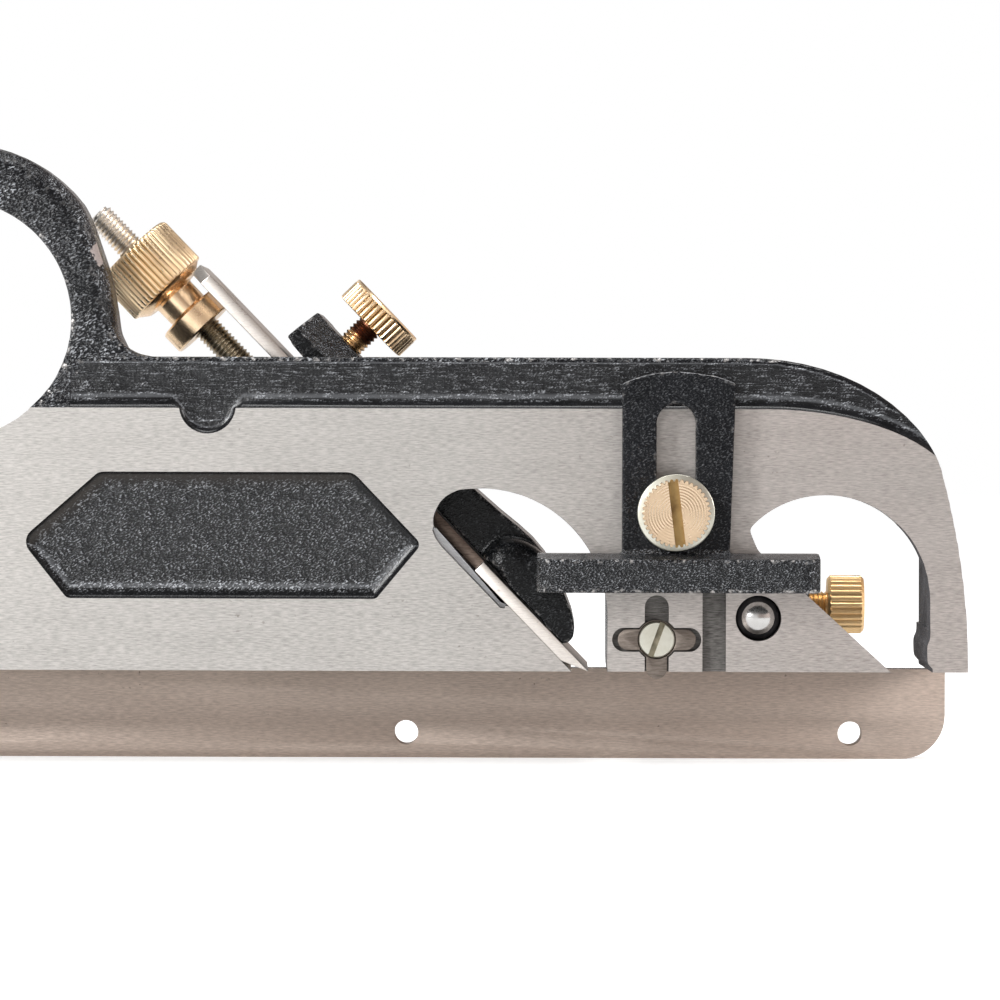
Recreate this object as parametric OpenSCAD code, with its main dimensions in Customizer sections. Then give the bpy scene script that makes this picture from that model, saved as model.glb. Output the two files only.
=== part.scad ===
// Duplex rebate plane: cast body with closed handle, iron, lever cap, screw adjuster,
// depth stop, spur, and a fence on two rods.
// +X points to the toe, +Z up, the right-hand working side faces -Y; Z = 0 is the sole.

/* [Body] */
// Length of the sole
sole_length = 215; // [180:1:260]
// Width of the sole and of the iron
sole_width = 38; // [30:1:50]
// Height of the top rail above the sole
rail_height = 55; // [45:1:65]
// Thickness of the side wall
wall_thickness = 8; // [6:0.5:10]
// Thickness of the sole behind the mouth
sole_thickness = 6; // [4:0.5:9]
// Height of the toe block
toe_block_height = 18.5; // [14:0.5:22]
// Height of the nose bar where it spans the full width
nose_bar_height = 20; // [14:0.5:24]
// Depth of the painted recesses in the ground side
recess_depth = 1.6; // [0.8:0.1:2.5]
// Width of the sloped band below the rail
rail_band = 3; // [1:0.1:4]

/* [Handle] */
// Thickness of the front post of the handle
post_thickness = 13; // [10:0.5:13]
// Thickness of the grip
grip_thickness = 20.5; // [18:0.5:24]
// Set-in of the handle from the ground side
handle_set_in = 2.5; // [1:0.1:5]
// Rounding of the handle edges
handle_round = 3.5; // [2:0.5:4]

/* [Iron] */
// Angle of the main bed
bed_angle = 46; // [40:0.5:50]
// Distance of the cutting edge from the toe
toe_length = 66.5; // [56:0.5:76]
// Thickness of the iron
iron_thickness = 2.2; // [1.8:0.1:3.2]
// Length of the iron
iron_length = 99.3; // [90:0.1:110]
// Length of the full-width part of the iron
iron_wide_length = 26.6; // [20:0.1:32]
// Gap between the shank of the iron and the wall
shank_gap = 1.5; // [0.8:0.1:6]
// Clip of the upper corners of the iron
iron_corner = 1.9; // [1:0.1:3]
// Angle of the sharpened bevel
bevel_angle = 25; // [20:1:35]

/* [Lever cap] */
// Place of the lever cap screw up the bed
cap_screw_s = 44; // [38:0.5:52]
// Place of the thumbscrew up the bed
cap_thumbscrew_s = 71; // [64:0.1:74]
// Diameter of the lever cap thumbscrew head
cap_thumbscrew_head_d = 15; // [12:0.5:18]

/* [Adjuster] */
// Diameter of the adjuster stud
stud_d = 5; // [4:0.5:6]
// Depth of the stud axis below the back of the iron
stud_drop = 5.1; // [4.8:0.1:5.4]
// Diameter of the adjuster nut head
nut_head_d = 15.5; // [13:0.1:16]
// Diameter of the flange of the adjuster nut
nut_flange_d = 12.6; // [11:0.1:13]

/* [Depth stop] */
// Width of the plate of the depth stop
stop_plate_width = 18.8; // [16:0.1:22]
// Thickness of the plate of the depth stop
stop_plate_thickness = 6; // [4:0.1:8]
// Reach of the foot from the side of the body
stop_foot_reach = 12; // [8:0.5:16]
// Width of the slot in the depth stop
stop_slot_width = 6.8; // [6.4:0.1:8]
// Travel of the depth stop
stop_travel = 15.6; // [10:0.1:20]
// Diameter of the depth stop screw
stop_screw_d = 6; // [5:0.5:6]

/* [Fence] */
// Distance of the fence face from the left side of the sole
fence_gap = 1; // [0.5:0.1:40]
// Thickness of the fence plate
fence_thickness = 6; // [4:0.5:8]
// Height of the fence plate
fence_height = 16.4; // [12:0.1:24]
// Drop of the fence top below the sole
fence_drop = 1.1; // [0.8:0.1:3]
// Diameter of the fence rods
rod_d = 7.9; // [6:0.1:10]
// Distance between the two fence rods
rod_spacing = 150; // [130:1:160]
// Length of the fence rods
rod_length = 128; // [110:1:160]
// Diameter of the facing screw holes in the fence
fence_hole_d = 4.4; // [3:0.1:5]
// Spacing of the facing screw holes
fence_hole_spacing = 80.8; // [60:0.1:90]

/* [Fits] */
// Radial clearance of turning and sliding round fits
running_fit = 0.05; // [0.02:0.01:0.1]
// Gap between separate pieces that do not bear on each other
free_gap = 0.3; // [0.2:0.05:0.5]

/* [Hidden] */
$fn = 64;
eps = 0.01;
side_y = -sole_width / 2;
left_y = sole_width / 2;
heel_x = -sole_length / 2;
toe_x = sole_length / 2;
edge_x = toe_x - toe_length;
wall_inner_y = side_y + wall_thickness;
bed_x = edge_x - iron_thickness / sin(bed_angle);
shank_width = sole_width - wall_thickness - shank_gap;
shank_y = left_y - shank_width / 2;
stud_h = -iron_thickness - stud_drop;
rod_z = 9.4;
front_rod_x = toe_x - 36.8;
rear_rod_x = front_rod_x - rod_spacing;
rod_bore_d = rod_d + 2 * running_fit;
rod_recess = 0.8;
thread_d = 5;
thread_bore_d = thread_d + 2 * running_fit;

// main opening of the wall
throat_x = edge_x + 3.1;
throat_arc = [edge_x - 19.1, 9.75];
throat_r = 22.3;
throat_corner = [edge_x - 21.3, 25.9];
throat_corner_r = 6;
relief_foot_z = 11.5;

// bullnose opening
bull_bed_x = toe_x - 13.6;
bull_bed_angle = 42.4;
bull_arc = [toe_x - 25, 12.9];
bull_r = 18.1;

// toe outline
toe_edge_r = 131;
toe_crown = [35, 26.25];
toe_crown_x = toe_x - 38.6;

// depth stop and spur
stop_x = edge_x + 15.1;
stop_screw_z = 27.9;
stop_groove = [edge_x + 19.9, edge_x + 24];
stop_groove_depth = 2;
spur_centre = [edge_x + 11.9, 5.6];
spur_recess_depth = 2;
spur_screw_d = 4;

// fence
fence_y = left_y + fence_gap;
fence_top_z = -fence_drop;
fence_front_x = toe_x - 2.1;
fence_rear_x = rear_rod_x - 11.7;
fence_boss_gap = 30;
fence_boss_length = 20;
fence_boss_y = [fence_y + fence_boss_gap, fence_y + fence_boss_gap + fence_boss_length];
fence_screw_y = fence_y + fence_boss_gap + fence_boss_length / 2;
fence_front_hole_x = toe_x - 19.4;
fence_hole_z = -12.9;
fence_corner_r = 8;

// adjuster nut, along the bed
nut_flange_s = [iron_length - 8.1, iron_length - 3.9];
nut_neck_d = 7.8;
nut_collar = 1.3;
nut_head_s = [iron_length + free_gap + nut_collar, iron_length + 11.1];
bed_top_s = 74;
stud_s = [bed_top_s - 16, iron_length + 19.3];

// Sub-part to show

// point on the bed: s up the bed from the cutting edge, h above the top of the iron
function bed(s, h) = [
  edge_x - s * cos(bed_angle) + h * sin(bed_angle),
  s * sin(bed_angle) + h * cos(bed_angle)
];

function arc(c, r, a0, a1, n) = [for (i = [0:n])
  let (a = a0 + (a1 - a0) * i / n) [c.x + r * cos(a), c.y + r * sin(a)]];

function reversed(p) = [for (i = [len(p) - 1:-1:0]) p[i]];

// closed smooth curve through points, with k steps a span
function curve_point(a, b, c, d, t) = 0.5 * (2 * b + (c - a) * t
  + (2 * a - 5 * b + 4 * c - d) * t * t + (3 * b - a - 3 * c + d) * t * t * t);
function smooth_loop(p, k) = let (n = len(p)) [for (i = [0:n - 1], j = [0:k - 1])
  curve_point(p[(i + n - 1) % n], p[i], p[(i + 1) % n], p[(i + 2) % n], j / k)];

// moves a counterclockwise ring inward
function inset(p, d) = let (n = len(p)) [for (i = [0:n - 1])
  let (t = p[(i + 1) % n] - p[(i + n - 1) % n], u = t / norm(t)) p[i] + d * [-u.y, u.x]];

// rounds the corners of a counterclockwise polygon
function rounded(p, r, k) = let (n = len(p)) [for (i = [0:n - 1]) each
  let (a = p[(i + n - 1) % n] - p[i], b = p[(i + 1) % n] - p[i],
       ua = a / norm(a), ub = b / norm(b),
       half = acos(ua * ub) / 2, m = (ua + ub) / norm(ua + ub),
       c = p[i] + m * r / sin(half),
       s = p[i] + ua * r / tan(half) - c, e = p[i] + ub * r / tan(half) - c,
       turn = 180 - 2 * half, a0 = atan2(s.y, s.x))
  [for (j = [0:k]) c + r * [cos(a0 + turn * j / k), sin(a0 + turn * j / k)]]];

// solid through rings of equal length; each ring is a list of [x, y, z]
module loft(rings, strip = false) {
  n = len(rings[0]);
  m = len(rings);
  points = [for (r = rings) each r];
  sides = [for (k = [0:m - 2], i = [0:n - 1])
    let (a = k * n + i, b = k * n + (i + 1) % n) each [[a, b, b + n], [a, b + n, a + n]]];
  cap = strip ? [for (i = [0:n / 2 - 2]) [i, i + 1, n - 2 - i, n - 1 - i]]
    : [[for (i = [0:n - 1]) i]];
  first_cap = [for (f = cap) reversed(f)];
  last_cap = [for (f = cap) [for (i = f) (m - 1) * n + i]];
  polyhedron(points, concat(first_cap, sides, last_cap), convexity = 6);
}

function at_y(p, y) = [for (q = p) [q.x, y, q.y]];

// extrudes an XZ outline from y0 to y1
module across(points, y0, y1) {
  translate([0, y1, 0]) rotate([90, 0, 0]) linear_extrude(y1 - y0) polygon(points);
}

// round bar along Y
module bar_y(x, z, d, y0, y1) {
  translate([x, y0, z]) rotate([-90, 0, 0]) cylinder(d = d, h = y1 - y0);
}

// round bar along X
module bar_x(y, z, d, x0, x1) {
  translate([x0, y, z]) rotate([0, 90, 0]) cylinder(d = d, h = x1 - x0);
}

// turned head with chamfered ends, standing on Z = 0
module knob(d, h, chamfer) {
  r = d / 2;
  rotate_extrude() polygon([[0, 0], [r - chamfer, 0], [r, chamfer], [r, h - chamfer],
    [r - chamfer, h], [0, h]]);
}

// local frame of the bed: x up the bed, y to the right, z off the bed
module on_bed(s, y, h) {
  translate([edge_x, 0, 0]) rotate([0, 0, 180]) rotate([0, -bed_angle, 0])
    translate([s, -y, h]) children();
}

// bar along the bed
module bar_bed(y, h, d, s0, s1) {
  on_bed(s0, y, h) rotate([0, 90, 0]) cylinder(d = d, h = s1 - s0);
}

function toe_edge() = arc([toe_x - toe_edge_r, 0], toe_edge_r, 0, 15.5, 8);
function toe_top() = [for (a = [76:-6:4])
  [toe_crown_x + toe_crown.x * sin(a), rail_height - toe_crown.y * (1 - cos(a))]];

function side_outline() = concat([[heel_x, 0]], toe_edge(), toe_top(),
  [[toe_crown_x, rail_height], [heel_x + 9.5, rail_height], [heel_x, rail_height - 15]]);

// foot of the bed, below the sole, and the top of its stretch in the wall
function bed_at(z) = [bed_x - z / tan(bed_angle), z];
function throat_outline() = concat(
  [bed_at(-1), [throat_x, -1]],
  arc(throat_arc, throat_r, 0, 88, 16),
  arc(throat_corner, throat_corner_r, 95, 185, 8),
  [bed_at(relief_foot_z) - [1.1, 0], bed_at(relief_foot_z)]);

function bull_bed(z) = [bull_bed_x - z / tan(bull_bed_angle), z];
bull_x = bull_arc.x + bull_r;
function bull_foot() = [[bull_x + 1.1, 0], [bull_x - 0.4, 1.6], [bull_x - 0.5, 4.9], [bull_x + 0.1, 5.6]];
function bull_outline() = concat([bull_bed(-1), [bull_x + 2.1, -1]], bull_foot(),
  arc(bull_arc, bull_r, 0, 138, 20), [bull_bed(21.3)]);

// lower edge of the rail, from the nose to the heel, with the semicircular lobe
rail_edge_z = 46.1;
lobe_x = edge_x - 66.9;
nose_x = toe_x - 31.5;
lobe_r = 5;
function rail_edge(up) = concat(
  [[nose_x + 36, 27 + up]],
  [for (a = [70:-7:0])
    [nose_x + 30 * sin(a), rail_edge_z - 12.9 * (1 - cos(a)) + up * (0.4 + 0.6 * cos(a))]],
  [[lobe_x + lobe_r + 1.2, rail_edge_z + up]],
  arc([lobe_x, rail_edge_z + 0.5], lobe_r - 0.35 * up, -6, -174, 12),
  [[lobe_x - lobe_r - 1.2, rail_edge_z + up], [heel_x - 22.5, rail_edge_z + up]]);
above_rail = rail_height + 35;
function rail_recess(up) = reversed(concat(rail_edge(up),
  [[heel_x - 22.5, above_rail], [nose_x + 36, above_rail]]));
function rail_strip(up) = concat([for (q = rail_edge(up)) [q.x, above_rail]], reversed(rail_edge(up)));

// the rail is set back from the ground side, with a sloped band below it
module rail_cut() {
  across(rail_recess(rail_band), side_y - 2, side_y + recess_depth);
  loft([at_y(rail_strip(0), side_y - 2.5), at_y(rail_strip(0), side_y),
    at_y(rail_strip(rail_band + 0.1), side_y + recess_depth - 0.03)], strip = true);
}

// outlines behind the mouth, drawn from the cutting edge
function from_edge(p) = [for (q = p) [q.x + edge_x, q.y]];
function hex_panel() = rounded(from_edge([[-99.6, 22.8], [-91.5, 12.6], [-37.3, 12.6], [-29.3, 22.2],
  [-41.3, 34.8], [-85.9, 34.8]]), 2, 4);

function handle_outline() = smooth_loop(from_edge([
  [-79.5, 48], [-81.3, 57], [-82.2, 63], [-83.6, 70], [-86.6, 77.2], [-91.5, 84.2], [-99, 89.8],
  [-109, 92.8], [-121, 94.5], [-133, 97], [-144, 100.8], [-153, 104.6], [-160.5, 103.6],
  [-163.6, 97], [-160.8, 89.5], [-158, 81], [-157.4, 71], [-159, 60], [-161.8, 49],
  [-163.6, 38.5], [-160, 30], [-153, 24], [-145, 18], [-133, 16.5], [-115, 23], [-97, 31],
  [-84, 39.5]]), 3);

// rings of a rounded edge: distance from the face, then set-in
handle_face_y = side_y + handle_set_in;
function edge_steps(r) = [for (a = [0:22.5:90]) [r * (1 - cos(a)), r * (1 - sin(a))]];
handle_left_y = handle_face_y + grip_thickness;
function handle_rings() = let (p = handle_outline()) concat(
  [for (e = edge_steps(handle_round)) at_y(inset(p, e.y), handle_face_y + e.x)],
  [for (e = reversed(edge_steps(handle_round + 1))) at_y(inset(p, e.y), handle_left_y - e.x)]);

// the left side slopes in towards the front post, clear of the adjuster nut
module post_relief() {
  drop = grip_thickness - post_thickness;
  translate([edge_x - 129, handle_left_y, 0]) rotate([0, 0, -atan2(drop, 44)]) cube([70, 30, 120]);
}

// finger hole of the handle, from three rounded corners
function finger_hole() = from_edge(concat(
  arc([-112.2, 61.5], 21.1, -76, 74, 22),
  arc([-122, 72.6], 9.2, 80, 162, 8),
  arc([-129, 47.6], 9.2, 168, 268, 9)));
function hole_rings() = let (p = finger_hole(), r = 3) concat(
  [at_y(p, side_y - 2)],
  [for (e = reversed(edge_steps(r))) at_y(inset(p, -e.y), handle_left_y + 0.2 - e.x)],
  [at_y(inset(p, -r), handle_left_y + 8)]);

module bed_block() {
  across([bed_at(-1), bed_at(relief_foot_z), bed(bed_top_s, -iron_thickness),
    bed(bed_top_s, -14.5), bed(19, -14.5), [edge_x - 23.4, -1]], wall_inner_y - 1, left_y);
  across([[edge_x - 21, 2], bed(60, -13), [edge_x - 57, 2]], shank_y - 3, shank_y + 3);
}

module body_castings() {
  across(side_outline(), side_y, wall_inner_y);
  translate([heel_x, side_y, 0]) cube([edge_x - 16 - heel_x, sole_width, sole_thickness]);
  bed_block();
  across([[throat_x, 0], [bull_bed_x, 0], bull_bed(toe_block_height), [throat_x, toe_block_height]],
    side_y, left_y);
  across(concat([[bull_x + 1.1, 0]], [for (q = toe_edge()) if (q.y < nose_bar_height - 1) q],
    [[toe_x - 1.6, nose_bar_height], [bull_x - 1.6, nose_bar_height], [bull_x + 0.1, 12]],
    reversed(bull_foot())), side_y, left_y);
  bar_y(rear_rod_x, rod_z, 18, side_y, left_y);
  bar_y(stop_x, stop_screw_z, 14, wall_inner_y - 1, wall_inner_y + 4);
}

module spur_recess() {
  for (a = [0, 90, 180, 270])
    translate([spur_centre.x, side_y - 1, spur_centre.y]) rotate([-90, 0, 0]) rotate(a)
      translate([0, -2.1, 0]) cube([5.7, 4.2, spur_recess_depth + 1]);
  for (a = [0, 90, 180, 270])
    bar_y(spur_centre.x + 5.7 * cos(a), spur_centre.y + 5.7 * sin(a), 4.2,
      side_y - 1, side_y + spur_recess_depth);
  bar_y(spur_centre.x, spur_centre.y, 7.4, side_y - 1, side_y + spur_recess_depth);
}

module body() {
  color("#8d8a86")
  difference() {
    union() {
      difference() {
        body_castings();
        translate([heel_x - 40, side_y - 30, -20]) cube([sole_length + 80, sole_width + 60, 20]);
        across(throat_outline(), side_y - 1, wall_inner_y + 1);
        across(bull_outline(), side_y - 1, wall_inner_y + 1);
        rail_cut();
        loft([at_y(hex_panel(), side_y - 2), at_y(hex_panel(), side_y),
          at_y(inset(hex_panel(), 1.5), side_y + recess_depth)]);
        translate([stop_groove.x, side_y - 1, -1])
          cube([stop_groove.y - stop_groove.x, stop_groove_depth + 1, 49]);
        spur_recess();
        bar_y(spur_centre.x, spur_centre.y, spur_screw_d + 2 * running_fit,
          side_y - 1, side_y + 11);
        bar_y(stop_x, stop_screw_z, stop_screw_d + 2 * running_fit, side_y - 1, wall_inner_y + 5);
        bar_y(front_rod_x, rod_z, rod_bore_d, side_y - 1, left_y + 1);
        bar_y(rear_rod_x, rod_z, rod_bore_d, side_y - 1, left_y + 1);
        on_bed(cap_screw_s, shank_y, -13) cylinder(d = 6 + 2 * running_fit, h = 12);
        bar_bed(shank_y, stud_h, stud_d + 2 * running_fit, stud_s.x, bed_top_s + 2);
        translate([bull_bed(9.4).x, shank_y, 9.4]) rotate([0, 90 - bull_bed_angle, 0])
          translate([0, 0, -7]) cylinder(d = 5, h = 10);
      }
      difference() {
        loft(handle_rings());
        post_relief();
      }
    }
    loft(hole_rings());
  }
}

module iron() {
  color("#b9bcc0")
  difference() {
    union() {
      on_bed(0, left_y, -iron_thickness) cube([iron_wide_length, sole_width, iron_thickness]);
      on_bed(iron_wide_length - 2, left_y, -iron_thickness)
        cube([iron_length - iron_wide_length + 2, shank_width, iron_thickness]);
    }
    on_bed(0, left_y + 1, 0) rotate([0, bevel_angle, 0]) translate([-1, 0, -4])
      cube([8, sole_width + 2, 4]);
    on_bed(cap_screw_s - 9, shank_y + 3.5, -3) cube([18, 7, 4]);
    on_bed(cap_screw_s - 9, shank_y, -3) cylinder(d = 7, h = 4);
    on_bed(cap_screw_s + 9, shank_y, -3) cylinder(d = 7, h = 4);
    on_bed(nut_flange_s.x - free_gap, shank_y + 4.5, -3)
      cube([nut_flange_s.y - nut_flange_s.x + 2 * free_gap, 9, 4]);
    for (y = [left_y - shank_width, left_y])
      on_bed(iron_length, y, -3) rotate([0, 0, 45]) translate([-iron_corner, -iron_corner, 0])
        cube([2 * iron_corner, 2 * iron_corner, 4]);
  }
}

// side profile of the lever cap, s and h on the bed
cap_seat_h = 7.5;
cap_end_s = cap_thumbscrew_s + 7.6;
function cap_profile() = [[6.7, 0], [11, 0], [12, free_gap], [cap_screw_s + 6, free_gap],
  [cap_end_s - 0.6, 2], [cap_end_s, 2.8], [cap_end_s - 0.4, 8.4], [cap_end_s - 1, 9], [64, 9],
  [cap_screw_s + 8, cap_seat_h], [cap_screw_s - 7, cap_seat_h], [31, 8], [27, 8.5], [23.5, 8.75],
  [20, 8.5], [16, 7.5], [12.7, 6.3], [9.4, 4.9], [7.3, 3.6], [6.2, 2.2], [6.1, 0.9]];

module on_bed_across(points, y0, y1) {
  on_bed(0, y1, 0) rotate([90, 0, 0]) mirror([0, 0, 1]) linear_extrude(y1 - y0) polygon(points);
}

module lever_cap() {
  color("#2b2c30")
  difference() {
    on_bed_across(cap_profile(), side_y + 0.7, left_y - 0.7);
    on_bed(26, side_y + 10.5, -1) cube([60, 12, 14]);
    on_bed(cap_screw_s, shank_y, -1) cylinder(d = 6.6, h = 14);
    on_bed(cap_thumbscrew_s, shank_y, -1) cylinder(d = thread_bore_d, h = 14);
  }
}

module lever_cap_screw() {
  color("#a9a9ad")
  difference() {
    union() {
      on_bed(cap_screw_s, shank_y, -12) cylinder(d = 6, h = 20);
      on_bed(cap_screw_s, shank_y, cap_seat_h) cylinder(d = 11.5, h = 2.4);
      on_bed(cap_screw_s, shank_y, cap_seat_h + 2.4) cylinder(d1 = 11.5, d2 = 8.5, h = 1);
    }
    on_bed(cap_screw_s - 7, shank_y + 0.7, 9.6) cube([14, 1.4, 4]);
  }
}

module lever_cap_thumbscrew() {
  color("#c89f5f")
  union() {
    on_bed(cap_thumbscrew_s, shank_y, 0) cylinder(d = thread_d, h = 15);
    on_bed(cap_thumbscrew_s, shank_y, 13.9) knob(cap_thumbscrew_head_d, 4.6, 0.3);
  }
}

module adjuster_stud() {
  color("#a39a86")
  bar_bed(shank_y, stud_h, stud_d, stud_s.x, stud_s.y);
}

module adjuster_nut() {
  color("#c89f5f")
  difference() {
    union() {
      on_bed(nut_flange_s.x, shank_y, stud_h) rotate([0, 90, 0])
        knob(nut_flange_d, nut_flange_s.y - nut_flange_s.x, 0.5);
      bar_bed(shank_y, stud_h, nut_neck_d, nut_flange_s.x, nut_head_s.y);
      on_bed(nut_head_s.x - nut_collar, shank_y, stud_h) rotate([0, 90, 0])
        cylinder(d1 = nut_head_d - 4.4, d2 = nut_head_d - 1.5, h = nut_collar + 0.1);
      on_bed(nut_head_s.x, shank_y, stud_h) rotate([0, 90, 0])
        knob(nut_head_d, nut_head_s.y - nut_head_s.x, 0.6);
    }
    bar_bed(shank_y, stud_h, stud_d + 2 * running_fit, nut_flange_s.x - 1, nut_head_s.y + 1);
  }
}

stop_plate_top = 50.4;
stop_foot_z = [14.1, 20.8];
stop_foot_x = [stop_x - 24.2, stop_x + 23.6];
stop_foot_round = 2.5;
module depth_stop_foot() {
  intersection() {
    translate([stop_foot_x.x, side_y, 0]) rotate([90, 0, 90])
      linear_extrude(stop_foot_x.y - stop_foot_x.x)
      polygon([[0, stop_foot_z.x], [0, stop_foot_z.y], [-stop_plate_thickness, stop_foot_z.y],
        [-stop_foot_reach, stop_foot_z.y - 0.9], [-stop_foot_reach, stop_foot_z.x]]);
    translate([0, 0, stop_foot_z.x - 1]) linear_extrude(stop_foot_z.y - stop_foot_z.x + 2)
      polygon(rounded([[stop_foot_x.x, side_y + 8], [stop_foot_x.x, side_y - stop_foot_reach],
        [stop_foot_x.y, side_y - stop_foot_reach], [stop_foot_x.y, side_y + 8]], stop_foot_round, 5));
  }
}

module depth_stop() {
  color("#2b2c30")
  difference() {
    union() {
      translate([stop_x - stop_plate_width / 2, side_y - stop_plate_thickness, stop_foot_z.x])
        cube([stop_plate_width, stop_plate_thickness, stop_plate_top - stop_foot_z.x]);
      intersection() {
        bar_y(stop_x, stop_plate_top - 19.9, 44, side_y - stop_plate_thickness, side_y);
        translate([stop_x - stop_plate_width / 2, side_y - 10, stop_plate_top - 3])
          cube([stop_plate_width, 20, 10]);
      }
      depth_stop_foot();
      translate([stop_groove.x + 0.1, side_y - 1, stop_foot_z.x])
        cube([stop_groove.y - stop_groove.x - 0.2, stop_groove_depth + 0.7, 32]);
    }
    bar_y(stop_x, stop_screw_z, stop_slot_width, side_y - 10, side_y + 1);
    bar_y(stop_x, stop_screw_z + stop_travel, stop_slot_width, side_y - 10, side_y + 1);
    translate([stop_x - stop_slot_width / 2, side_y - 10, stop_screw_z])
      cube([stop_slot_width, 11, stop_travel]);
  }
}

stop_washer_y = side_y - stop_plate_thickness - 1.2;
module depth_stop_washer() {
  color("#b9bcc0")
  difference() {
    bar_y(stop_x, stop_screw_z, 13.5, stop_washer_y, stop_washer_y + 1.2);
    bar_y(stop_x, stop_screw_z, stop_screw_d + 0.4, stop_washer_y - 1, stop_washer_y + 2);
  }
}

module depth_stop_screw() {
  color("#c89f5f")
  difference() {
    union() {
      translate([stop_x, stop_washer_y - 5, stop_screw_z]) rotate([-90, 0, 0]) knob(11.9, 5, 0.5);
      bar_y(stop_x, stop_screw_z, stop_screw_d, stop_washer_y - 1, wall_inner_y + 3);
    }
    translate([stop_x, stop_washer_y - 6, stop_screw_z]) rotate([0, -7, 0])
      translate([-0.9, 0, -8]) cube([1.8, 2.6, 16]);
  }
}

module spur() {
  color("#7d746c")
  difference() {
    union() {
      for (a = [0, 90, 180])
        translate([spur_centre.x, side_y + 0.2, spur_centre.y]) rotate([-90, 0, 0]) rotate(a)
          translate([0, -1.85, 0]) cube([5, 3.7, 1.8]);
      for (a = [0, 180, 270])
        bar_y(spur_centre.x + 5 * cos(a), spur_centre.y + 5 * sin(a), 3.7, side_y + 0.2, side_y + 2);
      bar_y(spur_centre.x, spur_centre.y, 7, side_y + 0.2, side_y + 2);
    }
    bar_y(spur_centre.x, spur_centre.y, 4.4, side_y - 1, side_y + 3);
    bar_y(spur_centre.x, spur_centre.y, 6.7, side_y - 1, side_y + 1.2);
  }
}

module spur_screw() {
  color("#c5c5b8")
  difference() {
    union() {
      bar_y(spur_centre.x, spur_centre.y, 6.3, side_y + 0.1, side_y + 1.2);
      bar_y(spur_centre.x, spur_centre.y, spur_screw_d, side_y + 0.6, side_y + 10);
    }
    translate([spur_centre.x, side_y - 1, spur_centre.y]) rotate([0, 20, 0])
      translate([-0.5, 0, -5]) cube([1, 1.7, 10]);
  }
}

module fence_arm(x) {
  translate([x - 8, fence_y + 2, fence_top_z - 9])
    cube([16, fence_boss_y.y - fence_y - 2, 9]);
  translate([x - 8, fence_boss_y.x, fence_top_z - 9])
    cube([16, fence_boss_y.y - fence_boss_y.x, rod_z - fence_top_z + 9]);
  bar_y(x, rod_z, 17, fence_boss_y.x, fence_boss_y.y);
  bar_x(fence_screw_y, rod_z, 10, x, x + 12.1);
}

module fence_bores(x) {
  bar_y(x, rod_z, rod_bore_d, fence_boss_y.x - 1, fence_boss_y.y + 1);
  bar_x(fence_screw_y, rod_z, thread_bore_d, x, x + 14);
}

module fence() {
  color("#8f857c")
  difference() {
    union() {
      translate([0, fence_y + fence_thickness, 0]) rotate([90, 0, 0])
        linear_extrude(fence_thickness) fence_shape();
      fence_arm(front_rod_x);
      fence_arm(rear_rod_x);
    }
    fence_bores(front_rod_x);
    fence_bores(rear_rod_x);
    for (i = [0:2])
      bar_y(fence_front_hole_x - i * fence_hole_spacing, fence_hole_z, fence_hole_d,
        fence_y - 1, fence_y + fence_thickness + 1);
  }
}

module fence_shape() {
  low = fence_top_z - fence_height;
  r = fence_corner_r;
  translate([fence_rear_x + r, low]) square([fence_front_x - fence_rear_x - 2 * r, fence_height]);
  translate([fence_rear_x, low + r]) square([fence_front_x - fence_rear_x, fence_height - r]);
  translate([fence_rear_x + r, low + r]) circle(r);
  translate([fence_front_x - r, low + r]) circle(r);
}

module fence_rod(x) {
  color("#c4c6c8")
  translate([x, side_y + rod_recess, rod_z]) rotate([-90, 0, 0]) {
    cylinder(d1 = rod_d - 2.2, d2 = rod_d, h = 1.1);
    translate([0, 0, 1.1]) cylinder(d = rod_d, h = rod_length - 2.2);
    translate([0, 0, rod_length - 1.1]) cylinder(d1 = rod_d, d2 = rod_d - 2.2, h = 1.1);
  }
}

module front_fence_rod() {
  fence_rod(front_rod_x);
}

module rear_fence_rod() {
  fence_rod(rear_rod_x);
}

module fence_thumbscrew(x) {
  color("#c89f5f")
  union() {
    bar_x(fence_screw_y, rod_z, thread_d, x + rod_d / 2 + running_fit, x + 16.5);
    translate([x + 15.8, fence_screw_y, rod_z]) rotate([0, 90, 0]) knob(11.3, 7.3, 0.6);
  }
}

module front_fence_thumbscrew() {
  fence_thumbscrew(front_rod_x);
}

module rear_fence_thumbscrew() {
  fence_thumbscrew(rear_rod_x);
}

body();
iron();
lever_cap();
lever_cap_screw();
lever_cap_thumbscrew();
adjuster_stud();
adjuster_nut();
depth_stop();
depth_stop_screw();
depth_stop_washer();
spur();
spur_screw();
fence();
front_fence_rod();
rear_fence_rod();
front_fence_thumbscrew();
rear_fence_thumbscrew();
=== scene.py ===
"""Rebate plane with closed handle, screw adjuster, depth stop, spur and a fence on two rods.

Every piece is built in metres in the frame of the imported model: +X to the toe, +Z up,
the working side with the depth stop faces -Y, and Z = 0 is the sole.
Sizes below are in millimetres and are turned to metres when a mesh is made.
"""
import math

import bmesh
import bpy
from mathutils import Matrix, Vector


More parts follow.
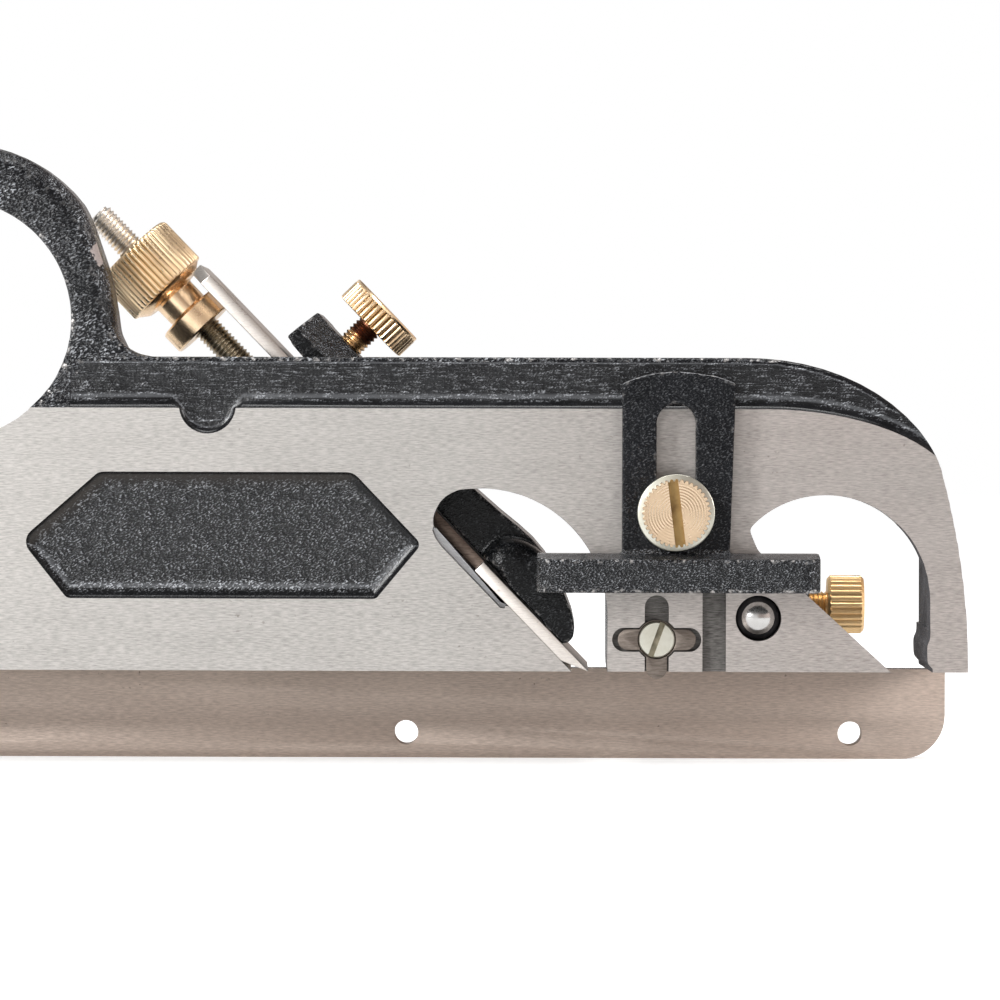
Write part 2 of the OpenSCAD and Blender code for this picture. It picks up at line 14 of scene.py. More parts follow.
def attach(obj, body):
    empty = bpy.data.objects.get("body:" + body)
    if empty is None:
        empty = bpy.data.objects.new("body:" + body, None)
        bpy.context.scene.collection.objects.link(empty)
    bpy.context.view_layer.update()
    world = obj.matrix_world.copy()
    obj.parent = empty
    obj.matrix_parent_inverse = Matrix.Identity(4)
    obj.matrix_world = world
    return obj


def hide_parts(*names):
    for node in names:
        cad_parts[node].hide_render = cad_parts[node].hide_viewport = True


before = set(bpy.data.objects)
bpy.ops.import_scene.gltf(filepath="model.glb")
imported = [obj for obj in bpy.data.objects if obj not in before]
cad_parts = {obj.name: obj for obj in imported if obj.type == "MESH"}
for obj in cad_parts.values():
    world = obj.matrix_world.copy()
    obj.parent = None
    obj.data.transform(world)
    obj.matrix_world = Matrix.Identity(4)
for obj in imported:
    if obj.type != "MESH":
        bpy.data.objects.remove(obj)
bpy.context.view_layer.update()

MM = 0.001
NEAR, AWAY, TO_TOE = (0, -1, 0), (0, 1, 0), (1, 0, 0)
SIDE, LEFT = -19.0, 19.0  # ground sides of the body
FLOOR_Z = -17.5  # the plane stands on the fence
BED_ANGLE = math.radians(46)
EDGE_X = 41.0  # cutting edge of the iron
IRON_THICK = 2.2
SHANK_Y = 4.75  # middle of the iron's shank
STUD_H = -7.3  # axis of the adjuster stud, off the upper face of the iron
UP_BED = Vector((-math.cos(BED_ANGLE), 0, math.sin(BED_ANGLE)))
OFF_BED = Vector((math.sin(BED_ANGLE), 0, math.cos(BED_ANGLE)))
BULL_X, BULL_ANGLE = 93.9, math.radians(42.4)
ROD_Z = 9.4
ROD_X = (70.7, -79.3)
STOP_X, STOP_SCREW_Z = 56.1, 27.9
SPUR_X, SPUR_Z = 52.9, 5.6


# Mesh helpers

WELD = 2e-6  # metres


def place(name, data):
    """Puts data into the scene as an object."""
    piece = bpy.data.objects.new(name, data)
    bpy.context.scene.collection.objects.link(piece)
    return piece


def mesh_piece(name, points, faces):
    mesh = bpy.data.meshes.new(name)
    mesh.from_pydata([tuple(c * MM for c in p) for p in points], [], faces)
    mesh.validate()
    return place(name, mesh)


def mend(mesh, weld=0.0):
    """Turns the faces outward, after points closer than the weld distance are joined."""
    bm = bmesh.new()
    bm.from_mesh(mesh)
    if weld:
        bmesh.ops.remove_doubles(bm, verts=bm.verts, dist=weld)
    bmesh.ops.recalc_face_normals(bm, faces=bm.faces)
    bm.to_mesh(mesh)
    bm.free()


def solid(name, points, faces):
    piece = mesh_piece(name, points, faces)
    mend(piece.data)
    return piece


def shape(piece, kind, **settings):
    """Runs one modifier and makes its result the piece's own mesh."""
    mod = piece.modifiers.new(kind.lower(), kind)
    for key, value in settings.items():
        setattr(mod, key, value)
    graph = bpy.context.evaluated_depsgraph_get()
    made = bpy.data.meshes.new_from_object(piece.evaluated_get(graph))
    piece.modifiers.clear()
    old = piece.data
    piece.data = made
    bpy.data.meshes.remove(old)


def joined(piece, *tools, cut=False):
    """Adds tools to a piece, or cuts them from it, and removes them."""
    for tool in tools:
        shape(piece, "BOOLEAN", object=tool, solver="MANIFOLD",
              operation="DIFFERENCE" if cut else "UNION")
        bpy.data.objects.remove(tool)


def swept(name, sections):
    """Solid from a row of closed sections with equal counts of points."""
    n, rows = len(sections[0]), len(sections)
    points = [p for section in sections for p in section]
    faces = [(k * n + i, k * n + (i + 1) % n, (k + 1) * n + (i + 1) % n, (k + 1) * n + i)
             for k in range(rows - 1) for i in range(n)]
    faces += [tuple(range(n))[::-1], tuple(range((rows - 1) * n, rows * n))]
    return solid(name, points, faces)


def across(name, outline, y0, y1):
    """Solid with an XZ outline, from y0 to y1."""
    return swept(name, [[(x, y, z) for x, z in outline] for y in (y0, y1)])


def block(name, low, high):
    (x0, y0, z0), (x1, y1, z1) = low, high
    return across(name, [(x0, z0), (x1, z0), (x1, z1), (x0, z1)], y0, y1)


def turn_frame(origin, axis, seen=(0, 0, 1)):
    """Frame whose Z is a turning axis; points in millimetres."""
    z, seen = Vector(axis).normalized(), Vector(seen)
    x = (seen - z * z.dot(seen)).normalized()
    frame_at = Matrix((x, z.cross(x), z)).transposed().to_4x4()
    frame_at.translation = Vector(origin)
    return frame_at


RIDGE = (0.0, 0.0, 0.18, 0.8, 1.0, 0.8, 0.18, 0.0)  # share of the knurl's depth around one ridge


def turned(name, profile, where, teeth=0, depth=0.0, plain=64):
    """Turned piece from rings of (radius, height, knurl), knurled with straight ridges."""
    n = teeth * len(RIDGE) if teeth else plain
    points, faces, rows = [], [], []
    for radius, height, knurl in profile:
        if radius == 0:
            rows.append([len(points)])
            points.append(where @ Vector((0, 0, height)))
            continue
        row = []
        for i in range(n):
            a = 2 * math.pi * i / n
            r = radius - (depth * knurl * RIDGE[i % len(RIDGE)] if teeth else 0)
            row.append(len(points))
            points.append(where @ Vector((r * math.cos(a), r * math.sin(a), height)))
        rows.append(row)
    for low, high in zip(rows, rows[1:]):
        for i in range(n):
            j = (i + 1) % n
            if len(low) == 1:
                faces.append((low[0], high[j], high[i]))
            elif len(high) == 1:
                faces.append((low[i], low[j], high[0]))
            else:
                faces.append((low[i], low[j], high[j], high[i]))
    return solid(name, points, faces)


THREAD_STEPS, THREAD_SIDES = 8, 28  # rings to one pitch, points around one ring
LEAD, LEAD_DEPTH = 0.6, 1.3  # length of the lead-in, and its depth in thread depths


def threaded(name, where, radius, length, pitch=0.8, depth=0.42):
    """Rod with a real helical thread along Z, with a lead-in at both ends."""
    count = int(length / pitch * THREAD_STEPS)
    sections = []
    for k in range(count + 1):
        z = length * k / count
        full = max(0.0, min(1.0, z / LEAD, (length - z) / LEAD))
        row = []
        for i in range(THREAD_SIDES):
            turn = (z / pitch - i / THREAD_SIDES) % 1.0
            r = radius - depth * abs(2 * turn - 1) - (1 - full) * depth * LEAD_DEPTH
            a = 2 * math.pi * i / THREAD_SIDES
            row.append(where @ Vector((r * math.cos(a), r * math.sin(a), z)))
        sections.append(row)
    return swept(name, sections)


def merge(name, *pieces):
    """Makes one object of several meshes, keeping their materials."""
    bm = bmesh.new()
    finishes = []
    for piece in pieces:
        at = len(bm.faces)
        bm.from_mesh(piece.data)
        bm.faces.ensure_lookup_table()
        own = list(piece.data.materials)
        for face in bm.faces[at:]:
            material = own[face.material_index]
            if material not in finishes:
                finishes.append(material)
            face.material_index = finishes.index(material)
        bpy.data.objects.remove(piece)
    mesh = bpy.data.meshes.new(name)
    bm.to_mesh(mesh)
    bm.free()
    for material in finishes:
        mesh.materials.append(material)
    return place(name, mesh)


def from_node(node, name):
    """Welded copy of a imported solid, ready to be worked on."""
    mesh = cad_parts[node].data.copy()
    mend(mesh, WELD)
    mesh.materials.clear()
    return place(name, mesh)


FLAT_ANGLE, EASED_ANGLE = math.radians(1.5), math.radians(32)


def eased(piece, width):
    """Rounds the sharp edges of a machined piece."""
    shape(piece, "DECIMATE", decimate_type="DISSOLVE", angle_limit=FLAT_ANGLE)
    shape(piece, "BEVEL", width=width * MM, segments=2, limit_method="ANGLE", angle_limit=EASED_ANGLE)


def cast(piece, voxel, rounds, keep=1.0):
    """Gives a solid the soft edges of a sand casting."""
    shape(piece, "REMESH", mode="VOXEL", voxel_size=voxel * MM)
    shape(piece, "SMOOTH", factor=0.5, iterations=rounds)
    if keep < 1:
        shape(piece, "DECIMATE", ratio=keep)


def paint_faces(piece, finishes, choose):
    """Gives each face the finish whose number choose(centre, normal) tells, in millimetres."""
    mesh = piece.data
    mesh.materials.clear()
    for material in finishes:
        mesh.materials.append(material)
    for face in mesh.polygons:
        face.material_index = int(choose(face.center / MM, face.normal))


def coat(piece, material):
    """Gives the whole piece one finish."""
    paint_faces(piece, [material], lambda c, n: 0)


def done(piece, body, node, angle=35):
    """Shades a piece, puts it under its body and hides the imported node that it replaces."""
    piece.data.shade_smooth()
    piece.data.set_sharp_from_angle(angle=math.radians(angle))
    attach(piece, body)
    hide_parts(node)


# Shader groups shared by the finishes

MIX_FACTOR, MIX_A, MIX_B, MIX_RESULT = 0, 6, 7, 2  # sockets of a colour mix node


def add(tree, kind, values=None, **attributes):
    node = tree.nodes.new(kind)
    for key, value in attributes.items():
        setattr(node, key, value)
    for key, value in (values or {}).items():
        node.inputs[key].default_value = value
    return node


def link(tree, start, end):
    tree.links.new(start, end)


def put(tree, node, **sources):
    """Links sources to the inputs of a node by name."""
    for key, source in sources.items():
        link(tree, source, node.inputs[key.replace("_", " ")])


def group(name, inputs, outputs):
    """Node group whose sockets are all plain numbers."""
    tree = bpy.data.node_groups.new(name, "ShaderNodeTree")
    for label, value in inputs.items():
        socket = tree.interface.new_socket(label, in_out="INPUT", socket_type="NodeSocketFloat")
        socket.default_value = value
    for label in outputs:
        tree.interface.new_socket(label, in_out="OUTPUT", socket_type="NodeSocketFloat")
    return tree, tree.nodes.new("NodeGroupInput"), tree.nodes.new("NodeGroupOutput")


def coordinates(tree, kind="Object"):
    return add(tree, "ShaderNodeTexCoord").outputs[kind]


def axes(tree, vector):
    node = add(tree, "ShaderNodeSeparateXYZ")
    link(tree, vector, node.inputs[0])
    return node.outputs


def noise(tree, vector, scale, detail, roughness):
    node = add(tree, "ShaderNodeTexNoise", {"Scale": scale, "Detail": detail, "Roughness": roughness})
    link(tree, vector, node.inputs["Vector"])
    return node.outputs["Fac"]


def stretched_noise(tree, stretch, detail, roughness):
    """Noise over the piece's own coordinates, with its own scale along each axis."""
    mapping = add(tree, "ShaderNodeMapping", {"Scale": stretch})
    link(tree, coordinates(tree), mapping.inputs["Vector"])
    return noise(tree, mapping.outputs["Vector"], 1.0, detail, roughness)


def ramp(tree, source, low, high, to_low=0.0, to_high=1.0):
    node = add(tree, "ShaderNodeMapRange", {"From Min": low, "From Max": high,
                                            "To Min": to_low, "To Max": to_high})
    link(tree, source, node.inputs["Value"])
    return node.outputs["Result"]


def maths(tree, operation, a, b):
    node = add(tree, "ShaderNodeMath", operation=operation)
    for slot, value in enumerate((a, b)):
        if isinstance(value, (int, float)):
            node.inputs[slot].default_value = value
        else:
            link(tree, value, node.inputs[slot])
    return node.outputs[0]


def times(tree, a, b):
    return maths(tree, "MULTIPLY", a, b)


def plus(tree, a, b):
    return maths(tree, "ADD", a, b)


def mixed(tree, factor, a, b, blend="MIX"):
    node = add(tree, "ShaderNodeMix", data_type="RGBA", blend_type=blend)
    for slot, value in ((MIX_FACTOR, factor), (MIX_A, a), (MIX_B, b)):
        if isinstance(value, (int, float)):
            node.inputs[slot].default_value = value
        elif isinstance(value, tuple):
            node.inputs[slot].default_value = (*value, 1.0)
        else:
            link(tree, value, node.inputs[slot])
    return node.outputs[MIX_RESULT]


def make_grinding_lines():
    """Fine grinding marks along the sole, a slow drift of tone, rust specks and painted shade towards the
    toe.
    """
    tree, start, end = group("grinding_lines", {"Speckle": 0.5}, ("Lines", "Drift", "Specks", "Patina"))
    fine = stretched_noise(tree, (620, 3000, 4600), 3.0, 0.6)
    broad = stretched_noise(tree, (55, 300, 420), 3.0, 0.55)
    drift = stretched_noise(tree, (26, 26, 40), 2.0, 0.5)
    specks = stretched_noise(tree, (900, 900, 1100), 2.0, 0.5)
    rare = stretched_noise(tree, (70, 70, 90), 1.0, 0.5)
    spots = times(tree, ramp(tree, specks, 0.66, 0.74), ramp(tree, rare, 0.56, 0.68))
    along = axes(tree, coordinates(tree))["X"]
    put(tree, end,
        Lines=plus(tree, times(tree, fine, 0.86), times(tree, broad, 0.14)),
        Drift=drift,
        Specks=times(tree, spots, start.outputs["Speckle"]),
        Patina=times(tree, ramp(tree, along, 0.015, 0.085), ramp(tree, drift, 0.35, 0.6, 0.75, 1.05)))
    return tree


PEBBLE_LEAN = math.radians(-28)
PEBBLE_SIZE = (0.58 * MM, 0.31 * MM, 0.31 * MM)


def make_paint_grain():
    """Sand-cast grain under gloss paint: pebbles or brush strokes, painted glints on their tips, and slow
    waves.
    """
    tree, start, end = group("paint_grain", {"Scale": 1.0, "Brushing": 0.0, "Patches": 0.0},
                             ("Height", "Tips", "Waves"))
    sized = add(tree, "ShaderNodeVectorMath", operation="SCALE")
    link(tree, coordinates(tree), sized.inputs[0])
    link(tree, start.outputs["Scale"], sized.inputs["Scale"])
    slanted = add(tree, "ShaderNodeMapping", {"Rotation": (0, PEBBLE_LEAN, 0), "Scale": PEBBLE_SIZE},
                  vector_type="TEXTURE")
    link(tree, sized.outputs[0], slanted.inputs["Vector"])
    pebbles = noise(tree, slanted.outputs[0], 1.0, 1.5, 0.55)
    coarse = noise(tree, sized.outputs[0], 520.0, 2.0, 0.5)
    waves = noise(tree, sized.outputs[0], 130.0, 2.0, 0.5)
    strokes = stretched_noise(tree, (330, 2600, 3400), 2.0, 0.55)
    brushing = start.outputs["Brushing"]
    loose = maths(tree, "SUBTRACT", 1.0, brushing)
    grain = plus(tree, times(tree, pebbles, loose), times(tree, strokes, brushing))
    # painted glints: the brightest tips of the grain, mixed into the base colour as highlights
    tips = times(tree, ramp(tree, grain, 0.53, 0.70), ramp(tree, coarse, 0.36, 0.60, 0.3, 1.0))
    patches = times(tree, ramp(tree, waves, 0.42, 0.58, -0.9, 0.9), start.outputs["Patches"])
    put(tree, end,
        Height=plus(tree, times(tree, grain, 0.6), times(tree, coarse, 0.6)),
        Tips=times(tree, tips, plus(tree, patches, 1.0)),
        Waves=waves)
    return tree


def make_recess_walls():
    """Masks from the way the paint faces: flat floor, painted warm reflection on walls that face down or
    right, painted glints on rims that face up, and a painted highlight line along them.
    """
    tree, start, end = group("recess_walls", {"Line": 0.1}, ("Floor", "Warm", "Rim", "Line"))
    normal = axes(tree, add(tree, "ShaderNodeNewGeometry").outputs["Normal"])
    up = normal["Z"]
    facing = times(tree, normal["Y"], -1.0)
    down = maths(tree, "SUBTRACT", times(tree, normal["X"], 0.75), up)
    # painted highlight line on the up-facing part of a recess wall
    line = times(tree, ramp(tree, up, 0.07, 0.12), ramp(tree, up, 0.15, 0.20, 1.0, 0.0))
    put(tree, end,
        Floor=ramp(tree, facing, 0.95, 0.997, 0.12, 1.0),
        Warm=times(tree, ramp(tree, down, 0.06, 0.45), ramp(tree, facing, 0.70, 0.97, 0.25, 1.0)),
        Rim=times(tree, ramp(tree, up, 0.04, 0.12), ramp(tree, up, 0.16, 0.34, 1.0, 0.0)),
        Line=times(tree, line, start.outputs["Line"]))
    return tree


def make_paint_chip():
    """Ragged diamond on the near side where the paint has come off."""
    tree, start, end = group("paint_chip", {"X": 0.0, "Z": 0.0, "Wide": 0.001, "High": 0.001}, ("Chip",))
    where = axes(tree, coordinates(tree))
    total = times(tree, noise(tree, coordinates(tree), 1300.0, 2.0, 0.5), 0.9)
    for axis, size in (("X", "Wide"), ("Z", "High")):
        off = maths(tree, "SUBTRACT", where[axis], start.outputs[axis])
        off = maths(tree, "DIVIDE", maths(tree, "ABSOLUTE", off, 0.0), start.outputs[size])
        total = plus(tree, total, off)
    near = ramp(tree, where["Y"], -0.0140, -0.0135, 1.0, 0.0)
    put(tree, end, Chip=times(tree, ramp(tree, total, 1.36, 1.46, 1.0, 0.0), near))
    return tree


def make_edge_wear():
    """Mask of worn convex edges, broken up by noise, which also serves as painted edge glints, and a mask of
    painted shade in concave places.
    """
    tree, start, end = group("edge_wear", {"Amount": 0.5, "Depth": 0.5}, ("Wear", "Hollow"))
    bend = add(tree, "ShaderNodeNewGeometry").outputs["Pointiness"]
    broken = stretched_noise(tree, (1000, 1000, 1000), 3.0, 0.6)
    worn = times(tree, ramp(tree, bend, 0.506, 0.545), ramp(tree, broken, 0.54, 0.68))
    put(tree, end,
        Wear=times(tree, worn, start.outputs["Amount"]),
        # painted shade in concave places
        Hollow=times(tree, ramp(tree, bend, 0.495, 0.44), start.outputs["Depth"]))
    return tree


def make_turning_marks():
    """Tool marks on turned pieces, tarnish from handling, and the stain that it leaves."""
    tree, start, end = group("turning_marks", {"Amount": 0.5}, ("Marks", "Tarnish", "Stain"))
    where = coordinates(tree)
    tarnish = ramp(tree, noise(tree, where, 330.0, 4.0, 0.6), 0.42, 0.7)
    put(tree, end,
        Marks=noise(tree, where, 2600.0, 3.0, 0.6),
        Tarnish=tarnish,
        Stain=times(tree, tarnish, start.outputs["Amount"]))
    return tree


GRINDING = make_grinding_lines()
PAINT_GRAIN = make_paint_grain()
PAINT_CHIP = make_paint_chip()
RECESS_WALLS = make_recess_walls()
EDGE_WEAR = make_edge_wear()
TURNING = make_turning_marks()


# Finishes

RUST = (0.10, 0.075, 0.055)
# colour of the painted glints on the paint's grain
GLINT = (0.66, 0.68, 0.72)
# colour of the painted warm reflection on recess walls that face down or right
WARM_WALL = (0.030, 0.025, 0.021)
# pale bare iron on worn edges, which also stands in for painted glints, and bare iron in a chip
BARE_EDGE, BARE_CHIP = (0.62, 0.59, 0.57), (0.36, 0.30, 0.28)
RIM_LINE = 0.09  # brightness of the painted highlight line along a recess
POST_CHIP = (-45.1, 73.5, 1.6, 2.9)  # chip on the post: x, z, half width, half height


def finish(name, **sockets):
    material = bpy.data.materials.new(name)
    material.use_nodes = True
    tree = material.node_tree
    shader = tree.nodes["Principled BSDF"]
    for key, value in sockets.items():
        shader.inputs[key.replace("_", " ")].default_value = value
    return material, tree, shader


def use(tree, source, values=None):
    """Puts a shader group into a finish and gives its outputs."""
    return add(tree, "ShaderNodeGroup", values, node_tree=source).outputs


def bump(tree, shader, height, strength, distance):
    node = add(tree, "ShaderNodeBump", {"Strength": strength, "Distance": distance * MM})
    put(tree, node, Height=height)
    put(tree, shader, Normal=node.outputs["Normal"])


def ground_metal(name, light, dark, roughness, speckle, patina=None):
    """Surface-ground iron or steel with fine lines along the sole."""
    material, tree, shader = finish(name, Metallic=1.0, IOR=2.0)
    marks = use(tree, GRINDING, {"Speckle": speckle})
    tone = mixed(tree, ramp(tree, marks["Lines"], 0.36, 0.62), dark, light)
    tone = mixed(tree, 1.0, tone, ramp(tree, marks["Drift"], 0.3, 0.7, 0.97, 1.03), "MULTIPLY")
    # painted shade: warmer and darker towards the toe
    if patina:
        tone = mixed(tree, marks["Patina"], tone, mixed(tree, 1.0, tone, patina, "MULTIPLY"))
    put(tree, shader,
        Base_Color=mixed(tree, marks["Specks"], tone, RUST),
        Roughness=ramp(tree, marks["Lines"], 0.35, 0.65, roughness + 0.06, roughness - 0.05))
    bump(tree, shader, marks["Lines"], 0.35, 0.03)
    return material


def black_paint(name, colour, tips, roughness, shine, grain=1.0, strength=1.0, wear=0.0,
                brushing=0.0, patches=0.0, chip=None, recess=False):
    """Black paint over sand-cast iron, with painted glints on its grain, worn to bare metal on its edges,
    where the pale bare metal also stands in for painted glints.
    """
    material, tree, shader = finish(name, IOR=1.5, Specular_IOR_Level=shine)
    skin = use(tree, PAINT_GRAIN, {"Scale": grain, "Brushing": brushing, "Patches": patches})
    worn = use(tree, EDGE_WEAR, {"Amount": wear})["Wear"]
    tone = mixed(tree, ramp(tree, skin["Waves"], 0.3, 0.7), colour, tuple(c * 1.5 for c in colour))
    glints, height = times(tree, skin["Tips"], tips), skin["Height"]
    # in a recess: painted glints on rims that face up, a painted highlight line, and a painted warm
    # reflection on walls that face down or right
    if recess:
        walls = use(tree, RECESS_WALLS, {"Line": RIM_LINE})
        rim = times(tree, walls["Rim"], glints)
        glints = plus(tree, times(tree, glints, walls["Floor"]), rim)
        glints = plus(tree, glints, walls["Line"])
        height = times(tree, height, walls["Floor"])
        tone = mixed(tree, walls["Warm"], tone, WARM_WALL)
    # painted glints: a pale colour on the grain's tips stands in for highlights
    tone = mixed(tree, glints, tone, GLINT)
    # bare iron on worn convex edges, made pale so that it also stands in for painted glints
    tone = mixed(tree, worn, tone, BARE_EDGE)
    if chip:
        x, z, wide, high = (v * MM for v in chip)
        bare = use(tree, PAINT_CHIP, {"X": x, "Z": z, "Wide": wide, "High": high})
        tone = mixed(tree, bare["Chip"], tone, BARE_CHIP)
    put(tree, shader,
        Base_Color=tone,
        Metallic=times(tree, worn, 0.9),
        Roughness=ramp(tree, skin["Waves"], 0.3, 0.7, roughness - 0.06, roughness + 0.08))
    bump(tree, shader, height, strength, 0.35)
    return material


def turned_metal(name, light, dark, roughness, tarnish=0.5, hollow=0.0, hollow_colour=(0.1, 0.06, 0.02)):
    """Brass or plated steel as it comes from the lathe, with painted shade in its concave places."""
    material, tree, shader = finish(name, Metallic=1.0, IOR=1.6)
    marks = use(tree, TURNING, {"Amount": tarnish})
    tone = mixed(tree, marks["Stain"], light, dark)
    # painted shade: a darker colour in concave places such as knurl grooves and thread roots
    tone = mixed(tree, use(tree, EDGE_WEAR, {"Depth": hollow})["Hollow"], tone, hollow_colour)
    put(tree, shader,
        Base_Color=tone,
        Roughness=ramp(tree, marks["Tarnish"], 0.0, 1.0, roughness, roughness + 0.14))
    bump(tree, shader, marks["Marks"], 0.12, 0.04)
    return material


# ground iron, with painted shade towards the toe
GROUND = ground_metal("ground iron", (0.565, 0.546, 0.522), (0.357, 0.343, 0.327), 0.42, 0.5,
                      patina=(0.94, 0.885, 0.875))
FENCE_GROUND = ground_metal("ground fence", (0.680, 0.572, 0.500), (0.525, 0.440, 0.384), 0.56, 0.7)
STEEL = ground_metal("tool steel", (0.76, 0.71, 0.66), (0.62, 0.57, 0.53), 0.32, 0.3)
# dark brown steel as painted shade on the shank inside the body
SHANK_STEEL = ground_metal("browned steel", (0.26, 0.20, 0.165), (0.14, 0.105, 0.085), 0.45, 0.5)
MILLED = ground_metal("milled bed", (0.88, 0.90, 0.92), (0.78, 0.80, 0.83), 0.4, 0.1)
GROOVE = ground_metal("milled groove", (0.21, 0.20, 0.19), (0.10, 0.095, 0.09), 0.55, 0.4)
SPUR_STEEL = ground_metal("spur steel", (0.22, 0.185, 0.16), (0.13, 0.11, 0.095), 0.45, 0.6)
PAINT = black_paint(
    "black paint", (0.0030, 0.0034, 0.0044), tips=0.42, roughness=0.2, shine=0.28,
    wear=1.0, patches=0.5, chip=POST_CHIP)
RAIL_PAINT = black_paint(
    "brushed black paint", (0.0042, 0.0045, 0.0054), tips=0.45, roughness=0.22, shine=0.38,
    grain=1.5, strength=0.8, brushing=0.5, recess=True)
PANEL_PAINT = black_paint(
    "black panel paint", (0.0038, 0.0040, 0.0046), tips=0.44, roughness=0.2, shine=0.27,
    grain=1.3, recess=True)
PLAIN_PAINT = black_paint(
    "unworn black paint", (0.0030, 0.0034, 0.0044), tips=0.36, roughness=0.2, shine=0.28)
STOP_PAINT = black_paint(
    "black paint of the stop", (0.0028, 0.0031, 0.0040), tips=0.44, roughness=0.16, shine=0.24,
    grain=1.6, strength=0.9, wear=1.0)
PLATE_PAINT = black_paint(
    "smooth black paint", (0.0030, 0.0033, 0.0044), tips=0.11, roughness=0.18, shine=0.15,
    grain=1.3, strength=0.8, wear=0.3)
# matt grey paint: a painted reflection for the sheen of gloss black paint on the toe's inner wall
MATT_PAINT = black_paint(
    "matt black paint", (0.075, 0.072, 0.075), tips=0.3, roughness=0.75, shine=0.05)
# pale paint as a painted highlight on the up-facing top edge of the stop plate
RUBBED_PAINT = black_paint(
    "rubbed black paint", (0.13, 0.13, 0.135), tips=1.0, roughness=0.25, shine=0.5,
    grain=1.6, strength=0.8, wear=1.0)
CAP_PAINT = black_paint(
    "black paint of the cap", (0.0016, 0.0018, 0.0022), tips=0.05, roughness=0.16, shine=0.2,
    grain=1.3, strength=0.5, wear=0.4)
BRASS = turned_metal("brass", (1.0, 0.75, 0.485), (0.82, 0.53, 0.27), 0.25, hollow=0.8)
CLAMP_BRASS = turned_metal("brass of the clamps", (0.90, 0.62, 0.32), (0.76, 0.47, 0.20), 0.36, hollow=0.2)
NUT_BRASS = turned_metal("brass of the nut", (1.0, 0.78, 0.51), (0.94, 0.65, 0.38), 0.27, 0.45, hollow=0.95)
BRASS_SLOT = turned_metal("brass slot", (0.36, 0.24, 0.10), (0.18, 0.11, 0.05), 0.4, 0.8)
PLATED_SLOT = turned_metal("plated slot", (0.30, 0.27, 0.20), (0.10, 0.09, 0.06), 0.4, 0.8)
BRASS_SHINE = turned_metal("turned brass", (0.95, 0.71, 0.47), (0.80, 0.54, 0.31), 0.2, 0.4)
FACED_BRASS = turned_metal("faced brass", (0.82, 0.63, 0.44), (0.66, 0.48, 0.31), 0.22)
THREADLOCK = turned_metal("threadlock on brass", (0.18, 0.075, 0.045), (0.09, 0.034, 0.022), 0.4, 0.8)
PLATED = turned_metal("zinc plate", (0.66, 0.65, 0.57), (0.45, 0.42, 0.33), 0.3)
STUD_END = turned_metal("clean stud steel", (1.0, 0.94, 0.86), (0.82, 0.75, 0.66), 0.28, hollow=0.5,
                        hollow_colour=(0.2, 0.17, 0.13))
STUD = turned_metal("stud steel", (0.52, 0.45, 0.34), (0.30, 0.25, 0.18), 0.26, hollow=0.8,
                    hollow_colour=(0.05, 0.04, 0.03))
ROD = turned_metal("rod steel", (0.62, 0.61, 0.60), (0.42, 0.40, 0.38), 0.14, 0.4)
# near-black painted shade for the chamfered rim around a rod's dome
ROD_RIM = turned_metal("blackened rim", (0.05, 0.05, 0.055), (0.02, 0.02, 0.022), 0.35)


# Body casting

SKIN = 0.6  # depth of the casting skin that grinding takes off
FAR = 200.0  # reach of a grinding block, past everything
AXIS_Y, AXIS_Z = 1, 2
FLUSH, SQUARE = 0.02, 0.99  # what counts as lying in a plane, and as facing it
RAIL_Z, RAIL_TOP = 46.0, 55  # lower edge and top of the painted rail
LOBE_X, LOBE_R = -25.9, 5
NOSE_X, NOSE_LONG, NOSE_DROP = 72.0, 34, 16
CROWN_X, CROWN_LONG, CROWN_DROP = 68.9, 35, 26.25
TOE_CENTRE_X, TOE_R = -23.5, 131
ROUND_STEPS = 12
FINGER_HOLE = (((-71.2, 61.5), 21.1, -76, 74), ((-81, 72.6), 9.2, 80, 162), ((-88, 47.6), 9.2, 168, 268))
BEHIND_HEEL = [(-140, 30), (-107.5, 30), (-107.5, 40), (-98, 55), (-98, 70), (-140, 70)]
ROOT_X, ROOT_Z, ROOT_R = -36.4, 60.0, 4.8  # round at the foot of the post
POST_FOOT_Z, POST_BACK_X, POST_SLIM = 55.2, -48, 1.3
ROD_BORE, STOP_BORE, SPUR_BORE = 4.0, 3.1, 2.1
GROOVE_X, GROOVE_TOP, RECESS_DEPTH = (60.9, 65.0), 44.5, 2
SPUR_ARM, SPUR_LOBE, SPUR_HUB = 5.7, 2.1, 3.7
POCKET_EDGE = ((19.4, -2.0), (18.4, -2.4), (18.2, -3.0), (18.8, -3.45),
               (33.4, -3.45), (35.4, -3.2), (36.8, -2.6), (37.2, -2.0))

# Sections of the rail and the panel: depth from the side, and distance in from the edge
RAIL_FILL = ((0, 0), (1.6, 0), (1.6, 3.4), (0, 3.4))
RAIL_WALL = ((-2, -0.3), (0, 0), (0.85, 0.25), (1.15, 0.65), (1.35, 1.3), (1.48, 2.0),
             (1.56, 2.8), (1.6, 4.0), (1.61, 6.0), (-2, 6.0))
PANEL_WALL = ((-2, -0.3), (0, 0), (0.75, 0.22), (1.05, 0.6), (1.27, 1.15), (1.42, 1.8),
              (1.53, 2.6), (1.6, 3.8))

# Corners of the panel: x, z and radius
PANEL_CORNERS = ((-58.6, 22.8, 2.5), (-50.5, 12.6, 1.5), (3.7, 12.6, 1.2),
                 (11.7, 22.2, 1.4), (-0.3, 34.8, 3.0), (-44.9, 34.8, 2.2))


def on_bed(s, y, h):
    """Point s up the bed from the cutting edge and h off the upper face of the iron."""
    return Vector((EDGE_X, y, 0)) + UP_BED * s + OFF_BED * h


def bed_outline(points):
    """Outline across the plane from points up the bed and off it."""
    return [(p.x, p.z) for p in (on_bed(s, 0, h) for s, h in points)]


def bed_foot(z):
    return (EDGE_X - IRON_THICK / math.sin(BED_ANGLE) - z / math.tan(BED_ANGLE), z)


